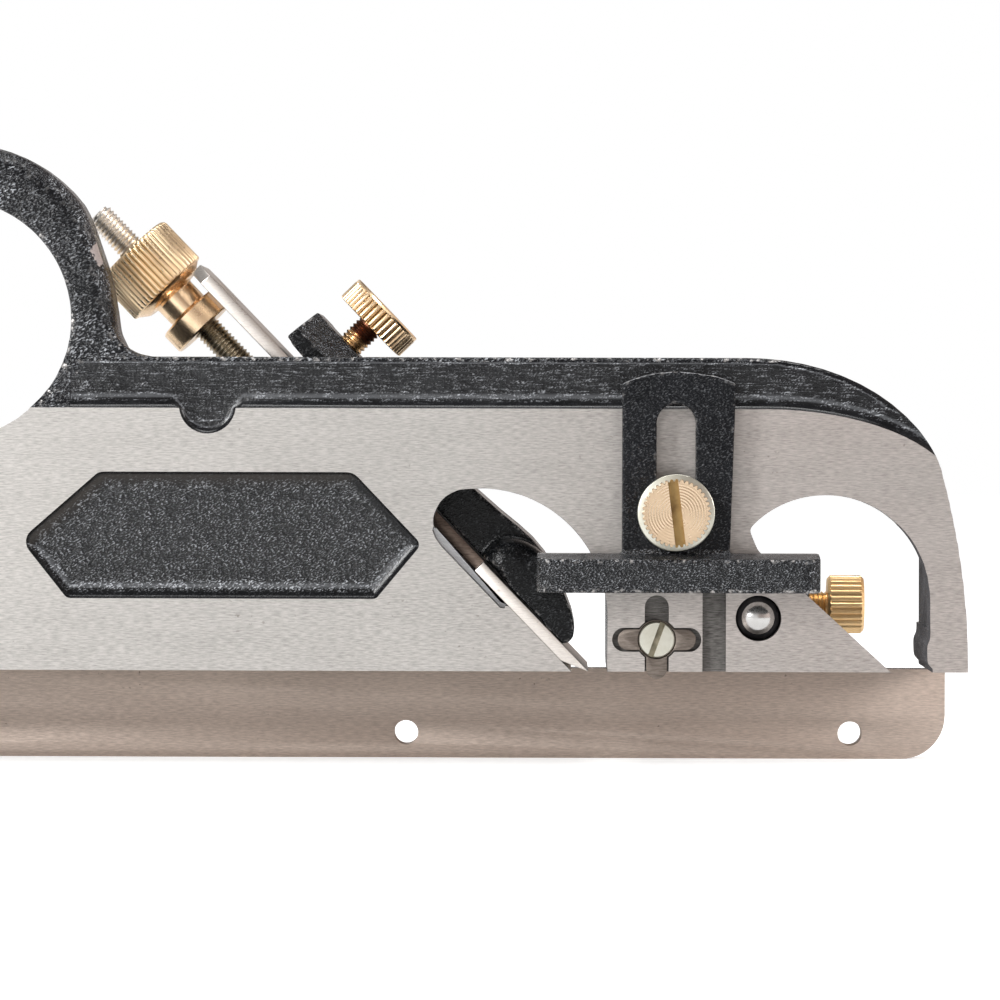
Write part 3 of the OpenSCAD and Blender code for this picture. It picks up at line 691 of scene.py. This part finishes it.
def bull_bed(z):
    return (BULL_X - z / math.tan(BULL_ANGLE), z)


def round_bar(name, x, z, radius, y0, y1):
    profile = [(0, 0, 0), (radius, 0, 0), (radius, y1 - y0, 0), (0, y1 - y0, 0)]
    return turned(name, profile, turn_frame((x, y0, z), AWAY))


def wedge(name, at, z1, grow, extra=0.0):
    """Bar of the body's width along a sloped bed."""
    low, high = at(-extra), at(z1)
    outline = [low, (low[0] + grow, low[1]), (high[0] + grow, high[1]), high]
    return across(name, outline, SIDE - extra, LEFT + extra)


def rail_edge(up):
    """Lower edge of the painted rail, from the nose to the heel, moved up by a distance."""
    points = [(NOSE_X + 38, 24 + up)]
    for a in range(70, -1, -5):
        c = math.cos(math.radians(a))
        points.append((NOSE_X + NOSE_LONG * math.sin(math.radians(a)),
                       RAIL_Z - NOSE_DROP * (1 - c) + up * (0.4 + 0.6 * c)))
    points += [(x, RAIL_Z + up) for x in (60, 45, 30, 15, 0, LOBE_X + 6.2)]
    for i in range(17):
        a = math.radians(-6 - 168 * i / 16)
        r = LOBE_R - 0.35 * up
        points.append((LOBE_X + r * math.cos(a), RAIL_Z + 0.5 + r * math.sin(a)))
    return points + [(x, RAIL_Z + up) for x in (LOBE_X - 6.2, -50, -70, -90, -130)]


def rail_tool(name, steps):
    """Strip along the rail's edge with a section of (depth from the side, height above the edge)."""
    rows = [(SIDE + depth, rail_edge(up)) for depth, up in steps]
    count = len(rows[0][1])
    return swept(name, [[(row[i][0], y, row[i][1]) for y, row in rows] for i in range(count)])


def round_points(centre, radius, first, last):
    for i in range(ROUND_STEPS + 1):
        a = math.radians(first + (last - first) * i / ROUND_STEPS)
        yield (centre[0] + radius * math.cos(a), centre[1] + radius * math.sin(a))


def rail_fill():
    """Strip that fills the rail's edge before casting, kept inside the casting's outline."""
    hole = [point for part in FINGER_HOLE for point in round_points(*part)]
    crown = [(CROWN_X + CROWN_LONG * math.sin(math.radians(a)),
              RAIL_TOP - CROWN_DROP * (1 - math.cos(math.radians(a)))) for a in range(0, 77, 4)]
    toe = [(TOE_CENTRE_X + math.sqrt(TOE_R ** 2 - z * z), z) for z in (33, 30, 26, 22)]
    beyond = crown + toe + [(140, 22), (140, 70), (CROWN_X, 70)]
    strip = rail_tool("fill", RAIL_FILL)
    clips = [across("clip", outline, SIDE - 3, SIDE + 5) for outline in (hole, beyond, BEHIND_HEEL)]
    joined(strip, *clips, cut=True)
    return strip


def panel_outline(inset):
    """Six-sided panel with rounded corners, drawn in by a distance."""
    n = len(PANEL_CORNERS)
    corners = [Vector(c[:2]) for c in PANEL_CORNERS]
    lines = []
    for i in range(n):
        along = (corners[(i + 1) % n] - corners[i]).normalized()
        lines.append((corners[i] + Vector((-along.y, along.x)) * inset, along))
    points = []
    for i in range(n):
        r = max(PANEL_CORNERS[i][2] - 0.7 * inset, 0.4)
        (p, d), (q, e) = lines[i - 1], lines[i]
        corner = p + d * ((q - p).cross(e) / d.cross(e))
        turn = math.acos(max(-1.0, min(1.0, d.dot(e))))
        centre = corner - d * (r * math.tan(turn / 2)) + Vector((-d.y, d.x)) * r
        first = math.atan2(-d.x, d.y)
        for k in range(7):
            a = first + turn * k / 6
            points.append((centre.x + r * math.cos(a), centre.y + r * math.sin(a)))
    return points


def panel_tool():
    return swept("panel", [[(x, SIDE + depth, z) for x, z in panel_outline(inset)]
                           for depth, inset in PANEL_WALL])


def spur_recess():
    """Hub and four lobes of the recess that the spur sits in."""
    front, floor = SIDE - 1, SIDE + RECESS_DEPTH
    tools = [round_bar("recess", SPUR_X, SPUR_Z, SPUR_HUB, front, floor)]
    for along, up in ((1, 0), (-1, 0), (0, 1), (0, -1)):
        dx, dz = SPUR_ARM * along, SPUR_ARM * up
        half_x, half_z = (SPUR_LOBE, 0) if up else (0, SPUR_LOBE)
        tools.append(round_bar("recess", SPUR_X + dx, SPUR_Z + dz, SPUR_LOBE, front, floor))
        tools.append(block("recess", (SPUR_X + min(0, dx) - half_x, front, SPUR_Z + min(0, dz) - half_z),
                           (SPUR_X + max(0, dx) + half_x, floor, SPUR_Z + max(0, dz) + half_z)))
    return tools


def grind(piece, axis, at, outward):
    """Cuts the cast skin off flat at a ground plane and brings the flat to its size."""
    low, high = [-FAR] * 3, [FAR] * 3
    cut_at = at - outward * SKIN
    if outward > 0:
        low[axis] = cut_at
    else:
        high[axis] = cut_at
    joined(piece, block("grinding", low, high), cut=True)
    for v in piece.data.vertices:
        if abs(v.co[axis] / MM - cut_at) < 1e-3:
            v.co[axis] = at * MM


def post_root():
    """Round between the post of the handle and the top of the rail."""
    curve = [(ROOT_X - ROOT_R * math.sin(math.radians(a)), ROOT_Z - ROOT_R * math.cos(math.radians(a)))
             for a in range(0, 91, 15)]
    return [(-43.5, 54.0), (ROOT_X, 54.0), *curve, (-43.5, 60.5)]


def slim_post(piece):
    """Draws the front edge of the post back by a little, less at its foot."""
    for v in piece.data.vertices:
        x, z = v.co.x / MM, v.co.z / MM
        if z > POST_FOOT_Z and POST_BACK_X < x < -20:
            share = min(1.0, (z - POST_FOOT_Z) / 4.0) * min(1.0, (x - POST_BACK_X) / 4.0)
            v.co.x -= POST_SLIM * MM * share


BLACK, BRIGHT, DARK, PANEL, RAIL, POCKET, MATT = range(7)
BODY_FINISHES = [PAINT, GROUND, GROOVE, PANEL_PAINT, RAIL_PAINT, MILLED, MATT_PAINT]


def body_finish(centre, normal):
    x, y, z = centre
    if y < SIDE + FLUSH and normal.y < -SQUARE:
        return BRIGHT
    if y > LEFT - FLUSH and normal.y > SQUARE:
        return BRIGHT
    if z < FLUSH and normal.z < -SQUARE:
        return BRIGHT
    if y < SIDE + RECESS_DEPTH + 0.05:
        if GROOVE_X[0] - 0.05 < x < GROOVE_X[1] + 0.05 and z < GROOVE_TOP + 0.1:
            return DARK
        if abs(x - SPUR_X) < 8 and abs(z - SPUR_Z) < 8:
            return DARK
    for rod_x in ROD_X:
        if math.hypot(x - rod_x, z - ROD_Z) < ROD_BORE + 0.1:
            return BRIGHT
    if -12 < y < -10.5 and normal.y < -0.9 and 5 < x < 35 and 8 < z < 32:
        return POCKET
    for at in (bull_bed, bed_foot):
        if 0 < z < 20 and abs(x - at(z)[0]) < 0.1 and normal.x > 0.5 and normal.z > 0.5:
            return BRIGHT
    # painted reflection: the toe's inner wall takes matt grey paint in place of the sheen of gloss paint
    if 93 < x < 105 and z < 26 and normal.x < -0.3:
        return MATT
    if -60 < x < 13 and 12 < z < 36 and y < SIDE + 2.5:
        return PANEL
    if POST_BACK_X < x < 104 and y < SIDE + 2.6 and 34 < z < 54.0:
        return RAIL
    return BLACK


def make_body():
    """Fills what is machined later, softens the casting, grinds its flats and cuts the machining."""
    piece = from_node("body", "plane_body")
    joined(piece,
           round_bar("fill", ROD_X[0], ROD_Z, ROD_BORE + 0.4, SIDE, LEFT),
           round_bar("fill", ROD_X[1], ROD_Z, ROD_BORE + 0.4, SIDE, LEFT),
           round_bar("fill", STOP_X, STOP_SCREW_Z, STOP_BORE + 0.3, SIDE, -7.0),
           block("fill", (44.8, SIDE, 0), (60.8, -8.0, 13.6)),
           block("fill", (60.5, SIDE, 0), (65.3, -16.0, 44.0)),
           across("fill", panel_outline(-0.3), SIDE, SIDE + 2.0),
           rail_fill(),
           across("root", post_root(), -16.4, -11.2),
           wedge("fill", bull_bed, 18.4, 4.0),
           wedge("fill", bed_foot, 11.3, 4.0))
    slim_post(piece)
    cast(piece, voxel=0.5, rounds=6)
    grind(piece, AXIS_Y, SIDE, -1)
    grind(piece, AXIS_Y, LEFT, 1)
    grind(piece, AXIS_Z, 0.0, -1)
    joined(piece,
           round_bar("bore", ROD_X[0], ROD_Z, ROD_BORE, SIDE - 2, LEFT + 2),
           round_bar("bore", ROD_X[1], ROD_Z, ROD_BORE, SIDE - 2, LEFT + 2),
           round_bar("bore", STOP_X, STOP_SCREW_Z, STOP_BORE, SIDE - 2, -5.0),
           round_bar("bore", SPUR_X, SPUR_Z, SPUR_BORE, SIDE - 2, SIDE + 11),
           block("groove", (GROOVE_X[0], SIDE - 2, -2), (GROOVE_X[1], SIDE + RECESS_DEPTH, GROOVE_TOP)),
           wedge("bed", bull_bed, 19.5, 5.6, 1.0),
           wedge("bed", bed_foot, 11.5, 5.2, 1.0),
           across("pocket", bed_outline(POCKET_EDGE), SIDE - 1, -11.2),
           block("toe", (95, -10.9, 7.6), (101.2, LEFT + 1, 24)),
           panel_tool(),
           rail_tool("rail", RAIL_WALL),
           *spur_recess(), cut=True)
    paint_faces(piece, BODY_FINISHES, body_finish)
    done(piece, "stock", "body", angle=38)


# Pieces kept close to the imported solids

SHANK_TOP = 54.0  # the shank is painted in shade below this level
CAP_FOOT = 20.2  # up the bed to where the shoulder of the lever cap starts
SHOULDER_ARCH = ((CAP_FOOT, 0.4), (27.2, 0.4), (27.7, 2.0), (27.7, 3.6), (27.1, 5.2),
                 (26.0, 6.5), (24.3, 7.6), (22.2, 8.3), (CAP_FOOT, 8.4))
SHOULDER_CENTRE, SHOULDER_REACH = Vector((CAP_FOOT, 3.0)), 3.8
CAP_STEP = ((20.6, -1), (30, -1), (30, 13), (20.6, 13))
CAP_END = ((76, 2.1), (79.4, 2.3), (79.0, 9.1), (76, 9.1))
CAP_SLOPE = ((-9.4, 3.9), (-9.4, 10.4), (-0.9, 10.4))
STOP_FOOT_Z = 21  # top of the stop's foot
STOP_TONGUE = (60.5, 65.4)  # tongue of the stop, which runs in the groove
STOP_CLEAR = 0.04
FENCE_FACE_Y = 26.05
FENCE_HOLE = (7.3, -12.9)  # middle hole of the fence


def split_across(piece, z):
    """Cuts the faces of a piece along a level, so that each side can have its own finish."""
    cutter = bmesh.new()
    cutter.from_mesh(piece.data)
    bmesh.ops.bisect_plane(cutter, geom=cutter.verts[:] + cutter.edges[:] + cutter.faces[:],
                           plane_co=(0, 0, z * MM), plane_no=(0, 0, 1))
    cutter.to_mesh(piece.data)
    cutter.free()


def make_iron():
    piece = from_node("iron", "cutting_iron")
    eased(piece, 0.15)
    split_across(piece, SHANK_TOP)
    # painted shade on the near faces of the shank below the rail
    paint_faces(piece, [STEEL, SHANK_STEEL],
                lambda c, n: -12 < c.y < -9 and n.y < -0.8 and c.z < SHANK_TOP)
    done(piece, "cutter", "iron")


def machined(node, name, body, material, width):
    piece = from_node(node, name)
    eased(piece, width)
    coat(piece, material)
    done(piece, body, node)


def cap_shoulder():
    """Shoulder of the lever cap that rolls over into its wide foot."""
    rounds = [(1 - math.sin(math.radians(a)), 1 - math.cos(math.radians(a))) for a in (90, 72, 54, 36, 18, 0)]
    steps = [(-18.3 + SHOULDER_REACH * back, SHOULDER_REACH * inward) for back, inward in rounds]
    sections = []
    for y, inset in steps + [(-8.3, 0.0)]:
        row = []
        for i, (s, h) in enumerate(SHOULDER_ARCH):
            away = Vector((s, h)) - SHOULDER_CENTRE
            pull = Vector((0, 0))
            if 0 < i < len(SHOULDER_ARCH) - 1:
                pull = away.normalized() * min(inset, away.length)
            row.append(on_bed(s - pull.x, y, max(h - pull.y, 0.4)))
        sections.append(row)
    return swept("shoulder", sections)


def make_lever_cap():
    piece = from_node("lever_cap", "lever_cap_casting")
    joined(piece, across("step", bed_outline(CAP_STEP), SIDE - 1, -8.5), cut=True)
    joined(piece, cap_shoulder(), across("end", bed_outline(CAP_END), -8.4, 18.2))
    slope = swept("slope", [[on_bed(s, y, h) for y, h in CAP_SLOPE] for s in (58, 82)])
    joined(piece, slope, cut=True)
    cast(piece, voxel=0.3, rounds=5, keep=0.5)
    # painted highlight: the upper face near the thumbscrew takes the paint with more painted glints
    paint_faces(piece, [CAP_PAINT, STOP_PAINT],
                lambda c, n: c.z > 44 and -9 < c.y < -0.5 and n.y < -0.3 and n.dot(OFF_BED) > 0.3)
    done(piece, "stock", "lever_cap")


def stop_finish(centre, normal):
    """Grainy foot, smooth plate, and a painted highlight along the top edge of the plate where it faces up.
    """
    if centre.z < STOP_FOOT_Z + 0.6:
        return 0
    return 2 if centre.z > 46 and 0.35 < normal.z < 0.97 and normal.y < 0 else 1


def make_depth_stop():
    """Stop with plate and foot drawn out to the toe; its flat back slides over the body and the iron."""
    piece = from_node("depth_stop", "depth_stop_casting")
    for v in piece.data.vertices:
        from_x, move = (15, 1.4) if v.co.z < STOP_FOOT_Z * MM else (5, 1.0)
        if v.co.x > (STOP_X + from_x) * MM:
            v.co.x += move * MM
    cast(piece, voxel=0.32, rounds=4, keep=0.5)
    for v in piece.data.vertices:
        if not STOP_TONGUE[0] < v.co.x / MM < STOP_TONGUE[1]:
            v.co.y = min(v.co.y, (SIDE - STOP_CLEAR) * MM)
    paint_faces(piece, [STOP_PAINT, PLATE_PAINT, RUBBED_PAINT], stop_finish)
    done(piece, "stop", "depth_stop")


def make_fence():
    piece = from_node("fence", "side_fence_casting")
    for v in piece.data.vertices:
        if v.co.x > 80 * MM and v.co.y < 26.5 * MM:
            v.co.x += 0.7 * MM
        elif math.hypot(v.co.x / MM - FENCE_HOLE[0], v.co.z / MM - FENCE_HOLE[1]) < 3:
            v.co.x += 0.65 * MM
    eased(piece, 0.5)
    paint_faces(piece, [PLAIN_PAINT, FENCE_GROUND],
                lambda c, n: c.y < FENCE_FACE_Y and n.y < 0.5 and (n.y < -0.5 or c.z < -0.2))
    done(piece, "side_fence", "fence")


# Turned brass and steel

# Rings of a turned piece are given as radius, height and share of the knurl's depth
NUT_NECK = [(2.55, 0, 0), (5.95, 0, 0), (6.3, 0.3, 0), (6.3, 3.9, 0), (5.95, 4.2, 0), (4.4, 4.22, 0),
            (3.9, 4.6, 0), (3.9, 8.0, 0), (4.3, 8.4, 0), (5.5, 8.42, 0), (5.85, 8.6, 0), (7.15, 9.55, 0),
            (7.3, 9.75, 0)]
NUT_HEAD = [(7.25, 9.72, 0), (7.8, 9.85, 0.4), (8.0, 10.1, 1), (8.0, 18.5, 1), (7.85, 18.85, 0.6),
            (7.4, 19.2, 0), (5.0, 19.22, 0), (2.9, 19.2, 0), (2.55, 18.9, 0)]
CAP_HEAD = [(0, 0, 0), (6.9, 0, 0), (7.35, 0.1, 0.3), (7.5, 0.3, 1), (7.5, 3.75, 1), (7.42, 3.95, 0.3),
            (7.45, 4.02, 0), (7.48, 4.4, 0), (7.25, 4.6, 0)]
STOP_HEAD = [(0, 0, 0), (5.5, 0, 0), (5.95, 0.35, 1), (5.95, 4.85, 1), (5.88, 5.0, 1), (5.35, 5.0, 0)]
CLAMP_HEAD = [(0, 0, 0), (4.55, 0, 0), (4.9, 0, 0), (5.38, 0.48, 0.2), (5.5, 0.6, 1), (5.5, 6.3, 1),
              (5.38, 6.42, 0.2), (4.9, 6.9, 0)]
SPUR_SCREW_HEAD = [(0, 0, 0), (2.9, 0, 0), (3.15, 0.2, 0), (3.15, 0.85, 0), (2.95, 1.05, 0), (1.5, 1.09, 0),
                   (0, 1.1, 0)]
SCREW_R = 2.5  # thread of the stud, the cap screw and the clamp screws
STUD_LONG, STUD_CLEAN_Z = 61.4, 73.5
CAP_SCREW_S, CAP_SCREW_LONG, THREADLOCK_H = 71, 14.2, 11.3
STOP_SCREW_Y = SIDE - 6 - 1.2  # in front of the stop's plate and the washer
STOP_SLOT_LEAN, SPUR_SLOT_LEAN = -7, 20  # degrees
ROD_R, ROD_LONG = 3.95, 128.0
DOME_R, DOME_EDGE = 4.6, 2.85  # domed end of a rod: radius of the dome, and of its edge
CLAMP_Y = 60.0


def faced(radius, height, steps, depth, wave=(0, 1)):
    """Rings of a turned end face with its tool marks."""
    rings = [(radius * i / steps, height - depth * wave[i % len(wave)], 0) for i in range(steps - 1, 0, -1)]
    return rings + [(0, height, 0)]


def make_adjuster_nut():
    where = turn_frame(on_bed(91.2, SHANK_Y, STUD_H - 0.25), UP_BED, NEAR)
    neck = turned("nut_neck", NUT_NECK, where)
    coat(neck, BRASS_SHINE)
    head = turned("nut_head", NUT_HEAD, where, teeth=50, depth=0.42)
    coat(head, NUT_BRASS)
    done(merge("adjuster_nut_brass", neck, head), "nut", "adjuster_nut")


def make_adjuster_stud():
    where = turn_frame(on_bed(58, SHANK_Y, STUD_H), UP_BED, NEAR)
    piece = threaded("adjuster_stud_thread", where, SCREW_R, STUD_LONG)
    paint_faces(piece, [STUD, STUD_END], lambda c, n: c.z > STUD_CLEAN_Z)
    done(piece, "stock", "adjuster_stud", angle=60)


def make_cap_thumbscrew():
    foot = on_bed(CAP_SCREW_S, SHANK_Y, 0)
    shank = threaded("cap_screw_shank", turn_frame(foot, OFF_BED, NEAR), SCREW_R, CAP_SCREW_LONG)
    paint_faces(shank, [BRASS, THREADLOCK], lambda c, n: (c - foot).dot(OFF_BED) > THREADLOCK_H)
    where = turn_frame(on_bed(CAP_SCREW_S, SHANK_Y, 13.9), OFF_BED, NEAR)
    head = turned("cap_screw_head", CAP_HEAD + faced(7.2, 4.6, 8, 0.012), where, teeth=40, depth=0.5)
    coat(head, BRASS)
    done(merge("cap_thumbscrew_brass", shank, head), "cap_thumbscrew", "lever_cap_thumbscrew")


def slot_cut(x, y0, y1, z, width, length, lean):
    """Box of a screwdriver slot, leaning by degrees about Y."""
    tool = block("slot", (-width / 2, y0, -length / 2), (width / 2, y1, length / 2))
    turn = Matrix.Translation(Vector((x, 0, z)) * MM) @ Matrix.Rotation(math.radians(lean), 4, "Y")
    tool.data.transform(turn)
    return tool


def in_slot(centre, y0, y1, x, z, half, lean):
    """True for the floor and walls of a screwdriver slot."""
    a = math.radians(lean)
    off = (centre.x - x) * math.cos(a) - (centre.z - z) * math.sin(a)
    return y0 < centre.y < y1 and abs(off) < half


def make_stop_screw():
    x, y, z, lean = STOP_X, STOP_SCREW_Y, STOP_SCREW_Z, STOP_SLOT_LEAN
    rings = STOP_HEAD + faced(5.3, 5.0, 44, 0.03, (1, 0.5, 0, 0.5))
    head = turned("stop_screw_head", rings, turn_frame((x, y, z), NEAR), teeth=40, depth=0.5)
    joined(head, slot_cut(x, y - 6, y - 3.4, z, 1.8, 16, lean), cut=True)
    paint_faces(head, [FACED_BRASS, BRASS_SLOT], lambda c, n: in_slot(c, y - 4.8, y - 3.3, x, z, 1.0, lean))
    shank = threaded("stop_screw_shank", turn_frame((x, y + 0.1, z), AWAY), 3.0, 18.1, 1.0)
    coat(shank, BRASS)
    done(merge("stop_screw_brass", head, shank), "stop_screw", "depth_stop_screw")


def make_spur_screw():
    x, z, lean = SPUR_X, SPUR_Z, SPUR_SLOT_LEAN
    head = turned("spur_screw_head", SPUR_SCREW_HEAD, turn_frame((x, SIDE + 1.2, z), NEAR))
    joined(head, slot_cut(x, SIDE - 1, SIDE + 0.7, z, 1.0, 10, lean), cut=True)
    paint_faces(head, [PLATED, PLATED_SLOT],
                lambda c, n: in_slot(c, SIDE + 0.2, SIDE + 0.8, x, z, 0.6, lean))
    shank = threaded("spur_screw_shank", turn_frame((x, SIDE + 1.0, z), AWAY), 2.0, 9.0, 0.7, 0.35)
    coat(shank, PLATED)
    done(merge("spur_screw_plated", head, shank), "stock", "spur_screw")


def make_rod(x, name, node):
    """Rod with domed ends and painted shade on the rim around the dome on the near side."""
    y0 = SIDE + 0.8
    dome = [(q, DOME_R - math.sqrt(DOME_R ** 2 - q * q), 0) for q in (0.6, 1.2, 1.8, 2.4, DOME_EDGE)]
    end = [(0, 0, 0), *dome, (3.4, 1.25, 0), (ROD_R - 0.1, 1.6, 0), (ROD_R, 1.9, 0)]
    profile = end + [(q, ROD_LONG - h, 0) for q, h, _ in reversed(end)]
    piece = turned(name, profile, turn_frame((x, y0, ROD_Z), AWAY), plain=72)
    # painted shade on the chamfered rim around the dome
    paint_faces(piece, [ROD, ROD_RIM],
                lambda c, n: DOME_EDGE < math.hypot(c.x - x, c.z - ROD_Z) < 3.94 and c.y < y0 + 2.0)
    done(piece, "stock", node)


def make_clamp_screw(x, name, node, body):
    shank = threaded(name + "_shank", turn_frame((x + 4.0, CLAMP_Y, ROD_Z), TO_TOE), SCREW_R, 12.2)
    where = turn_frame((x + 15.8, CLAMP_Y, ROD_Z), TO_TOE, NEAR)
    head = turned(name + "_head", CLAMP_HEAD + faced(4.9, 6.9, 20, 0.02), where, teeth=26, depth=0.34)
    for piece in (shank, head):
        coat(piece, CLAMP_BRASS)
    done(merge(name, shank, head), body, node)


make_body()
make_iron()
machined("spur", "nicker_spur", "stock", SPUR_STEEL, 0.12)
machined("lever_cap_screw", "cap_screw", "stock", PLATED, 0.3)
machined("depth_stop_washer", "stop_washer", "stop_screw", PLATED, 0.2)
make_lever_cap()
make_depth_stop()
make_fence()
make_adjuster_nut()
make_adjuster_stud()
make_cap_thumbscrew()
make_stop_screw()
make_spur_screw()
make_rod(ROD_X[0], "front_rod_steel", "front_fence_rod")
make_rod(ROD_X[1], "rear_rod_steel", "rear_fence_rod")
make_clamp_screw(ROD_X[0], "front_clamp_brass", "front_fence_thumbscrew", "front_clamp")
make_clamp_screw(ROD_X[1], "rear_clamp_brass", "rear_fence_thumbscrew", "rear_clamp")


# Stage, light and camera

FLOOR_HALF = 4000
FLOOR_GREY, FLOOR_LIFT = 0.86, 0.56  # tone of the floor, and its glow to the camera
DIFFUSE_SKY = 0.55
WHITE, WARM_SKY = (1.0, 1.0, 1.0), (1.0, 0.865, 0.80)
CAMERA_AT, CAMERA_AIM = Vector((36.0, -969, 42.3)), Vector((25.4, SIDE, 30.0))
CAMERA_LENS, CAMERA_ROLL = 195.4, math.radians(0.15)


def seen_rays(tree):
    """Light path, and a mask of the rays that show the backdrop itself."""
    path = add(tree, "ShaderNodeLightPath").outputs
    return path, maths(tree, "MAXIMUM", path["Is Camera Ray"], path["Is Transmission Ray"])


def make_floor():
    corners = [(-FLOOR_HALF, -FLOOR_HALF), (FLOOR_HALF, -FLOOR_HALF),
               (FLOOR_HALF, FLOOR_HALF), (-FLOOR_HALF, FLOOR_HALF)]
    floor = mesh_piece("floor", [(x, y, FLOOR_Z) for x, y in corners], [(0, 1, 2, 3)])
    material = bpy.data.materials.new("pale floor")
    material.use_nodes = True
    tree = material.node_tree
    tree.nodes.clear()
    _, seen = seen_rays(tree)
    base = add(tree, "ShaderNodeBsdfDiffuse", {"Color": (FLOOR_GREY, FLOOR_GREY, FLOOR_GREY, 1)})
    lift = add(tree, "ShaderNodeEmission", {"Color": (*WHITE, 1)})
    put(tree, lift, Strength=times(tree, seen, FLOOR_LIFT))
    total = add(tree, "ShaderNodeAddShader")
    for slot, part in enumerate((base, lift)):
        link(tree, part.outputs[0], total.inputs[slot])
    put(tree, add(tree, "ShaderNodeOutputMaterial"), Surface=total.outputs[0])
    floor.data.materials.append(material)


def make_world():
    """White backdrop to the camera, even light to matt faces, and a graded sky in the reflections."""
    world = bpy.data.worlds.new("studio")
    bpy.context.scene.world = world
    world.use_nodes = True
    tree = world.node_tree
    tree.nodes.clear()
    path, seen = seen_rays(tree)
    glossy = path["Is Glossy Ray"]
    where = axes(tree, coordinates(tree, "Generated"))
    sky = times(tree, ramp(tree, where["X"], -0.13, 0.11, 0.97, 0.44),
                ramp(tree, where["Z"], 0.2, 0.6, 1.0, 0.3))
    sky = plus(tree, sky, ramp(tree, where["X"], 0.35, 0.75, 0.0, 0.42))
    base = times(tree, maths(tree, "SUBTRACT", 1.0, glossy), DIFFUSE_SKY)
    level = plus(tree, times(tree, glossy, sky), base)
    warm = times(tree, glossy, ramp(tree, where["X"], -0.08, 0.1))
    light = add(tree, "ShaderNodeBackground")
    put(tree, light, Color=mixed(tree, warm, WHITE, WARM_SKY), Strength=maths(tree, "MAXIMUM", level, seen))
    put(tree, add(tree, "ShaderNodeOutputWorld"), Surface=light.outputs[0])


def soft_light(name, at, aim, size, power):
    lamp = bpy.data.lights.new(name, "AREA")
    lamp.shape = "RECTANGLE"
    lamp.size, lamp.size_y = size
    lamp.energy = power
    piece = place(name, lamp)
    piece.location = Vector(at) * MM
    piece.rotation_euler = (Vector(aim) - Vector(at)).to_track_quat("-Z", "Y").to_euler()


def make_camera():
    data = bpy.data.cameras.new("camera")
    data.lens = CAMERA_LENS
    data.sensor_width = 36.0
    data.clip_start = 0.01
    piece = place("camera", data)
    look = (CAMERA_AIM - CAMERA_AT).to_track_quat("-Z", "Y")
    piece.location = CAMERA_AT * MM
    piece.rotation_euler = (look.to_matrix() @ Matrix.Rotation(CAMERA_ROLL, 3, "Z")).to_euler()
    bpy.context.scene.camera = piece


make_floor()
make_world()
soft_light("left", at=(-640, -880, 420), aim=(0, 0, 30), size=(0.3, 0.4), power=9.5)
soft_light("right", at=(950, -420, 330), aim=(0, 0, 30), size=(0.25, 0.35), power=3.4)
soft_light("top", at=(20, -60, 900), aim=(10, 0, 30), size=(0.7, 0.25), power=4.6)
make_camera()
bpy.context.scene.view_settings.view_transform = "Standard"
